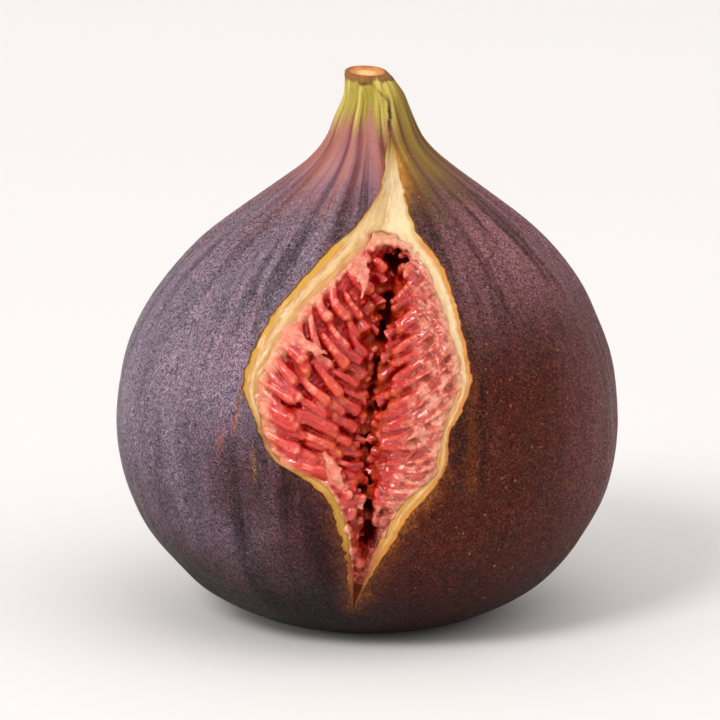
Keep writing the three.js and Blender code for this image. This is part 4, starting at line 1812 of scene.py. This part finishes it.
@dataclass
class TornSkins:
    """Torn skins of pulp that hang in the split."""

    form: FigForm
    thickness: float = 0.24
    along: int = 26
    wide: int = 14
    sheets: tuple[TornSheet, ...] = (
        TornSheet(
            ((-1.3, 39.2, 0.9), (-0.8, 38.2, 0.4), (-0.2, 37.0, 0.6), (-0.33, 35.4, 1.3)),
            (2.4, 2.0, 1.2, 0.15), 8, 1,
        ),
        TornSheet(
            ((-8.2, 32.7, 0.5), (-6.6, 32.0, 0.0), (-5.1, 31.3, -0.1), (-3.7, 30.6, 0.5)),
            (1.1, 1.2, 0.9, 0.15), 66, 2,
        ),
        TornSheet(
            ((-4.2, 21.6, 0.9), (-3.4, 20.8, 0.2), (-2.9, 19.4, 0.2), (-2.2, 18.0, 1.0)),
            (0.4, 1.1, 1.3, 0.6), 10, 3,
        ),
        TornSheet(
            ((-0.2, 17.3, 2.1), (-0.6, 16.7, 1.5), (-0.5, 15.8, 1.6)),
            (0.6, 1.1, 0.4), 20, 4,
        ),
        TornSheet(
            ((1.3, 16.7, 1.7), (1.0, 15.9, 1.4), (0.9, 15.0, 1.7)),
            (0.5, 0.8, 0.3), 10, 5,
        ),
    )

    def build(self) -> bpy.types.Object:
        """Builds the torn skins.

        Returns:
            All torn skins as one object.
        """
        points: list[np.ndarray] = []
        faces: Faces = []
        for sheet in self.sheets:
            first = sum(len(p) for p in points)
            spots, sides = self.sheet(sheet)
            points.append(spots)
            faces += [tuple(first + i for i in face) for face in sides]
        return Shell(np.concatenate(points), faces).piece("torn_skins", [])

    def middles(self) -> np.ndarray:
        """Points spread over all the torn skins."""
        return np.concatenate([self.sheet(sheet)[0] for sheet in self.sheets])

    def sheet(self, sheet: TornSheet) -> tuple[np.ndarray, Faces]:
        """One torn skin as a closed thin body.

        Args:
            sheet: Its sizes.

        Returns:
            Its points and faces.
        """
        form = self.form
        knots = np.array(sheet.middle)
        marks = np.linspace(0, 1, len(knots))
        steps = np.linspace(0, 1, self.along)
        x, z, depth = (SmoothCurve(tuple(zip(marks, knots[:, i])))(steps) for i in range(3))
        width = SmoothCurve(tuple(zip(np.linspace(0, 1, len(sheet.widths)), sheet.widths)))(steps)
        way = np.linspace(-0.5, 0.5, self.wide)
        turn = math.radians(sheet.turn)
        px = x[:, None] + way[None] * width[:, None] * math.cos(turn)
        pz = z[:, None] + way[None] * width[:, None] * math.sin(turn)
        curl = (way[None] * 2) ** 2 * 0.3 * width[:, None]
        py = form.front(px, pz) + depth[:, None] + curl
        face = np.stack([px, py, pz], -1)
        face[..., 1] += Ripples(1.6, 60 + sheet.seed)(face) * 0.08
        edge = np.abs(way[None] * 2) ** 4
        face[..., 0] += edge * Ripples(1.3, 70 + sheet.seed)(face) * 0.12
        face[..., 2] += edge * Ripples(1.3, 80 + sheet.seed)(face) * 0.12
        back = face[:, ::-1].copy()
        back[..., 1] += np.broadcast_to(self.thickness * (1 - edge * 0.5), face.shape[:2])[:, ::-1]
        rings = np.concatenate([face, back], axis=1)
        return ring_stack(rings, rings[0].mean(axis=0), rings[-1].mean(axis=0))


@dataclass
class Pulp:
    """The wet pulp behind the split: banks, florets, buds and torn skins grown together into one body."""

    form: FigForm
    grain: float = 0.13
    most_triangles: int = 190000
    smoothing: int = 2
    groove_rounds: int = 60

    def build(self) -> bpy.types.Object:
        """Builds and dresses the pulp.

        Returns:
            The piece `fig_pulp`.
        """
        florets, buds, skins = Florets(self.form), Buds(self.form), TornSkins(self.form)
        spines = florets.spines()
        wet = PulpFinish("wet_pulp", 0.2, 0.35, (1.0, 0.2, 0.08), 0.9, specular=0.35, coat_roughness=0.04)
        material = wet.material()
        banks = PulpBanks(self.form).build()
        parts = (banks, florets.build(spines, material), buds.build(material), skins.build())
        for part in parts:
            LOG.info("%s: %d points", part.name, len(part.data.vertices))
        fused = self.fuse(parts)
        mesh = fused.data
        points = np.empty(len(mesh.vertices) * 3)
        mesh.vertices.foreach_get("co", points)
        edges = np.empty(len(mesh.edges) * 2, np.int32)
        mesh.edges.foreach_get("vertices", edges)
        points = relaxed(points.reshape(-1, 3), edges.reshape(-1, 2), self.smoothing)
        mesh.vertices.foreach_set("co", points.ravel())
        kept = self.kept(points, spines, buds, skins)
        kept["groove"] = spread(kept["lift"], edges.reshape(-1, 2), self.groove_rounds) - kept["lift"]
        keep(mesh, kept)
        mesh.materials.clear()
        mesh.materials.append(material)
        mesh.shade_smooth()
        mesh.update()
        return self.thinned(fused)

    def thinned(self, dense: bpy.types.Object) -> bpy.types.Object:
        """Merges the points that its form can spare and brings the body to metres.

        Args:
            dense: The dressed body, in millimetres. It is used up.

        Returns:
            The finished body, with at most about `most_triangles` triangles.
        """
        thin = dense.modifiers.new("thin_out", "DECIMATE")
        thin.ratio = min(1.0, self.most_triangles / (2 * len(dense.data.polygons)))
        body = plain_copy(dense, "fig_pulp")
        body.data.transform(Matrix.Scale(MM, 4))
        return body

    def fuse(self, parts: Sequence[bpy.types.Object]) -> bpy.types.Object:
        """Grows parts together into one closed body.

        Args:
            parts: Closed bodies that overlap. They are used up.

        Returns:
            The body, its points still in millimetres.
        """
        work = bmesh.new()
        for part in parts:
            work.from_mesh(part.data)
            bpy.data.objects.remove(part)
        bmesh.ops.scale(work, vec=(1 / MM,) * 3, verts=work.verts)
        mesh = bpy.data.meshes.new("pulp_rough")
        work.to_mesh(mesh)
        work.free()
        rough = placed("pulp_rough", mesh)
        remesh = rough.modifiers.new("grow_together", "REMESH")
        remesh.mode = "VOXEL"
        remesh.voxel_size = self.grain
        return plain_copy(rough, "pulp_dense")

    def kept(self, points: np.ndarray, spines: Spines, buds: Buds, skins: TornSkins) -> dict[str, np.ndarray]:
        """The numbers that the pulp's finish reads at each point.

        Args:
            points: The points, in millimetres.
            spines: The florets' middle lines.
            buds: The round lumps.
            skins: The torn skins.

        Returns:
            By name: how far a point stands out, its share of the way to the rind with its side as the sign,
            its floret's tint, and how much it is a seed or a torn skin.
        """
        lift, side_share = self.form.standing(points)
        count, length = spines.lines.shape[:2]
        along = np.tile(np.linspace(0, 1, length), count)
        tints = np.repeat(spines.tints, length)
        spots = buds.spots()[0]
        seeds = smooth_step(0.5, 0.95, along) * smooth_step(0.3, 0.75, tints)
        all_spots = np.concatenate([spines.lines.reshape(-1, 3), spots])
        all_tints = np.concatenate([tints, np.linspace(0, 1, len(spots))])
        bud_seeds = np.where(np.arange(len(spots)) < buds.count, 0.9, 0.0)
        all_seeds = np.concatenate([seeds, bud_seeds])
        nearest, away = nearest_of(all_spots, points)
        film_away = nearest_of(skins.middles(), points)[1]
        return {
            "lift": lift,
            "side_share": side_share,
            "tint": all_tints[nearest],
            "seed": all_seeds[nearest] * smooth_step(0.85, 0.5, away),
            "film": smooth_step(0.35, 0.08, film_away),
        }


def nearest_of(spots: np.ndarray, points: np.ndarray) -> tuple[np.ndarray, np.ndarray]:
    """Finds the nearest of some spots for each point.

    Args:
        spots: The spots.
        points: The points.

    Returns:
        The number of each point's nearest spot, and how far away it is.
    """
    tree = KDTree(len(spots))
    for i, spot in enumerate(spots):
        tree.insert(spot, i)
    tree.balance()
    found = [tree.find(point)[1:] for point in points]
    numbers, away = zip(*found)
    return np.array(numbers), np.array(away)


# Stage, lights and camera


@dataclass(frozen=True)
class Lamp:
    """A far lamp: the way towards it, its strength, and how many degrees wide it looks."""

    name: str
    toward: tuple[float, float, float]
    strength: float
    angle: float


@dataclass(frozen=True)
class Studio:
    """A plain pale floor under soft light, and the camera at the photograph's viewing angle."""

    elevation: float = 12
    distance: float = 450
    aim_height: float = 27
    widest_pixels: float = 504
    image_pixels: float = 720
    middle_pixel: tuple[float, float] = (366.5, 347.5)
    sensor: float = 36
    floor_size: float = 6000
    sky: Colour = (1.0, 0.985, 0.975)
    sky_strength: float = 0.58
    lamps: tuple[Lamp, ...] = (
        Lamp("window", (-0.44, -0.64, 0.64), 0.7, 18),
        Lamp("fill", (0.45, -0.5, 1.0), 0.7, 60),
        Lamp("edge", (-0.88, -0.35, 0.3), 0.4, 14),
    )
    panel_distance: float = 1.03
    panel_size: float = 0.32
    panel_power: float = 2.6

    def build(self, form: FigForm) -> None:
        """Sets the floor, the lights and the camera.

        Args:
            form: The fig that they are set for.
        """
        half = self.floor_size / 2
        corners = np.array([[-half, -half, 0], [half, -half, 0], [half, half, 0], [-half, half, 0]], float)
        pale = FloorFinish("pale_floor", 0.9, specular=0.0).material()
        floor = Shell(corners, [(0, 1, 2, 3)]).piece("floor", [pale])
        self.light_world()
        for lamp in self.lamps:
            self.hang(lamp)
        self.hang_panel(Vector(self.lamps[0].toward).normalized() * self.panel_distance)
        self.set_camera(form)

    def light_world(self) -> None:
        """Fills the room with even pale light."""
        world = bpy.data.worlds.new("studio")
        world.use_nodes = True
        back = world.node_tree.nodes["Background"].inputs
        back["Color"].default_value = (*self.sky, 1.0)
        back["Strength"].default_value = self.sky_strength
        bpy.context.scene.world = world

    @staticmethod
    def hang(lamp: Lamp) -> None:
        """Adds one wide far lamp.

        Args:
            lamp: Its sizes.
        """
        light = bpy.data.lights.new(lamp.name, "SUN")
        light.energy = lamp.strength
        light.angle = math.radians(lamp.angle)
        placed(lamp.name, light).rotation_euler = Vector(lamp.toward).to_track_quat("Z", "Y").to_euler()

    def hang_panel(self, place: Vector) -> None:
        """Adds the square panel in front of the window, which lights the near floor most.

        Args:
            place: Where it hangs, in metres. It faces the fig.
        """
        light = bpy.data.lights.new("panel", "AREA")
        light.energy, light.size = self.panel_power, self.panel_size
        holder = placed("panel", light)
        holder.location = place
        holder.rotation_euler = place.to_track_quat("Z", "Y").to_euler()

    def set_camera(self, form: FigForm) -> None:
        """Sets the camera so that the fig fills the frame as in the photograph.

        Args:
            form: The fig, for its true width.
        """
        tilt = math.radians(self.elevation)
        pixel = form.body_width / self.widest_pixels
        frame_width = pixel * self.image_pixels
        back = Vector((0, -math.cos(tilt), math.sin(tilt)))
        up = Vector((0, math.sin(tilt), math.cos(tilt)))
        aside = (self.image_pixels / 2 - self.middle_pixel[0]) * pixel
        lift = (self.middle_pixel[1] - self.image_pixels / 2) * pixel
        place = Vector((0, 0, self.aim_height)) + back * self.distance + Vector((aside, 0, 0)) + up * lift
        camera = bpy.data.cameras.new("view")
        camera.sensor_width = self.sensor
        camera.lens = self.sensor * self.distance / frame_width
        camera.clip_start, camera.clip_end = 0.01, 20
        holder = placed("view", camera)
        turn = Matrix((Vector((1, 0, 0)), up, back)).transposed()
        holder.matrix_world = Matrix.Translation(place * MM) @ turn.to_4x4()
        bpy.context.scene.camera = holder
        bpy.context.scene.view_settings.view_transform = "Standard"


@dataclass(frozen=True)
class Dressed:
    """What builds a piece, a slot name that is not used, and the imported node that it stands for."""

    build: Callable[[], bpy.types.Object]
    slot: str
    node: str


def main() -> None:
    """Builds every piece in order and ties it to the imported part."""
    logging.basicConfig(level=logging.INFO, format="%(name)s: %(message)s")
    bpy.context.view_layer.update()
    form = FigForm()
    dressed = (
        Dressed(Fruit(form).build, "skin", "fruit"),
        Dressed(Pulp(form).build, "pulp", "florets"),
    )
    for plan in dressed:
        piece = plan.build()
        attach(piece, BODY)
        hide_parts(plan.node)
        LOG.info("%s: %d points, %d faces", piece.name, len(piece.data.vertices), len(piece.data.polygons))
    Studio().build(form)


if __name__ == "__main__":
    main()
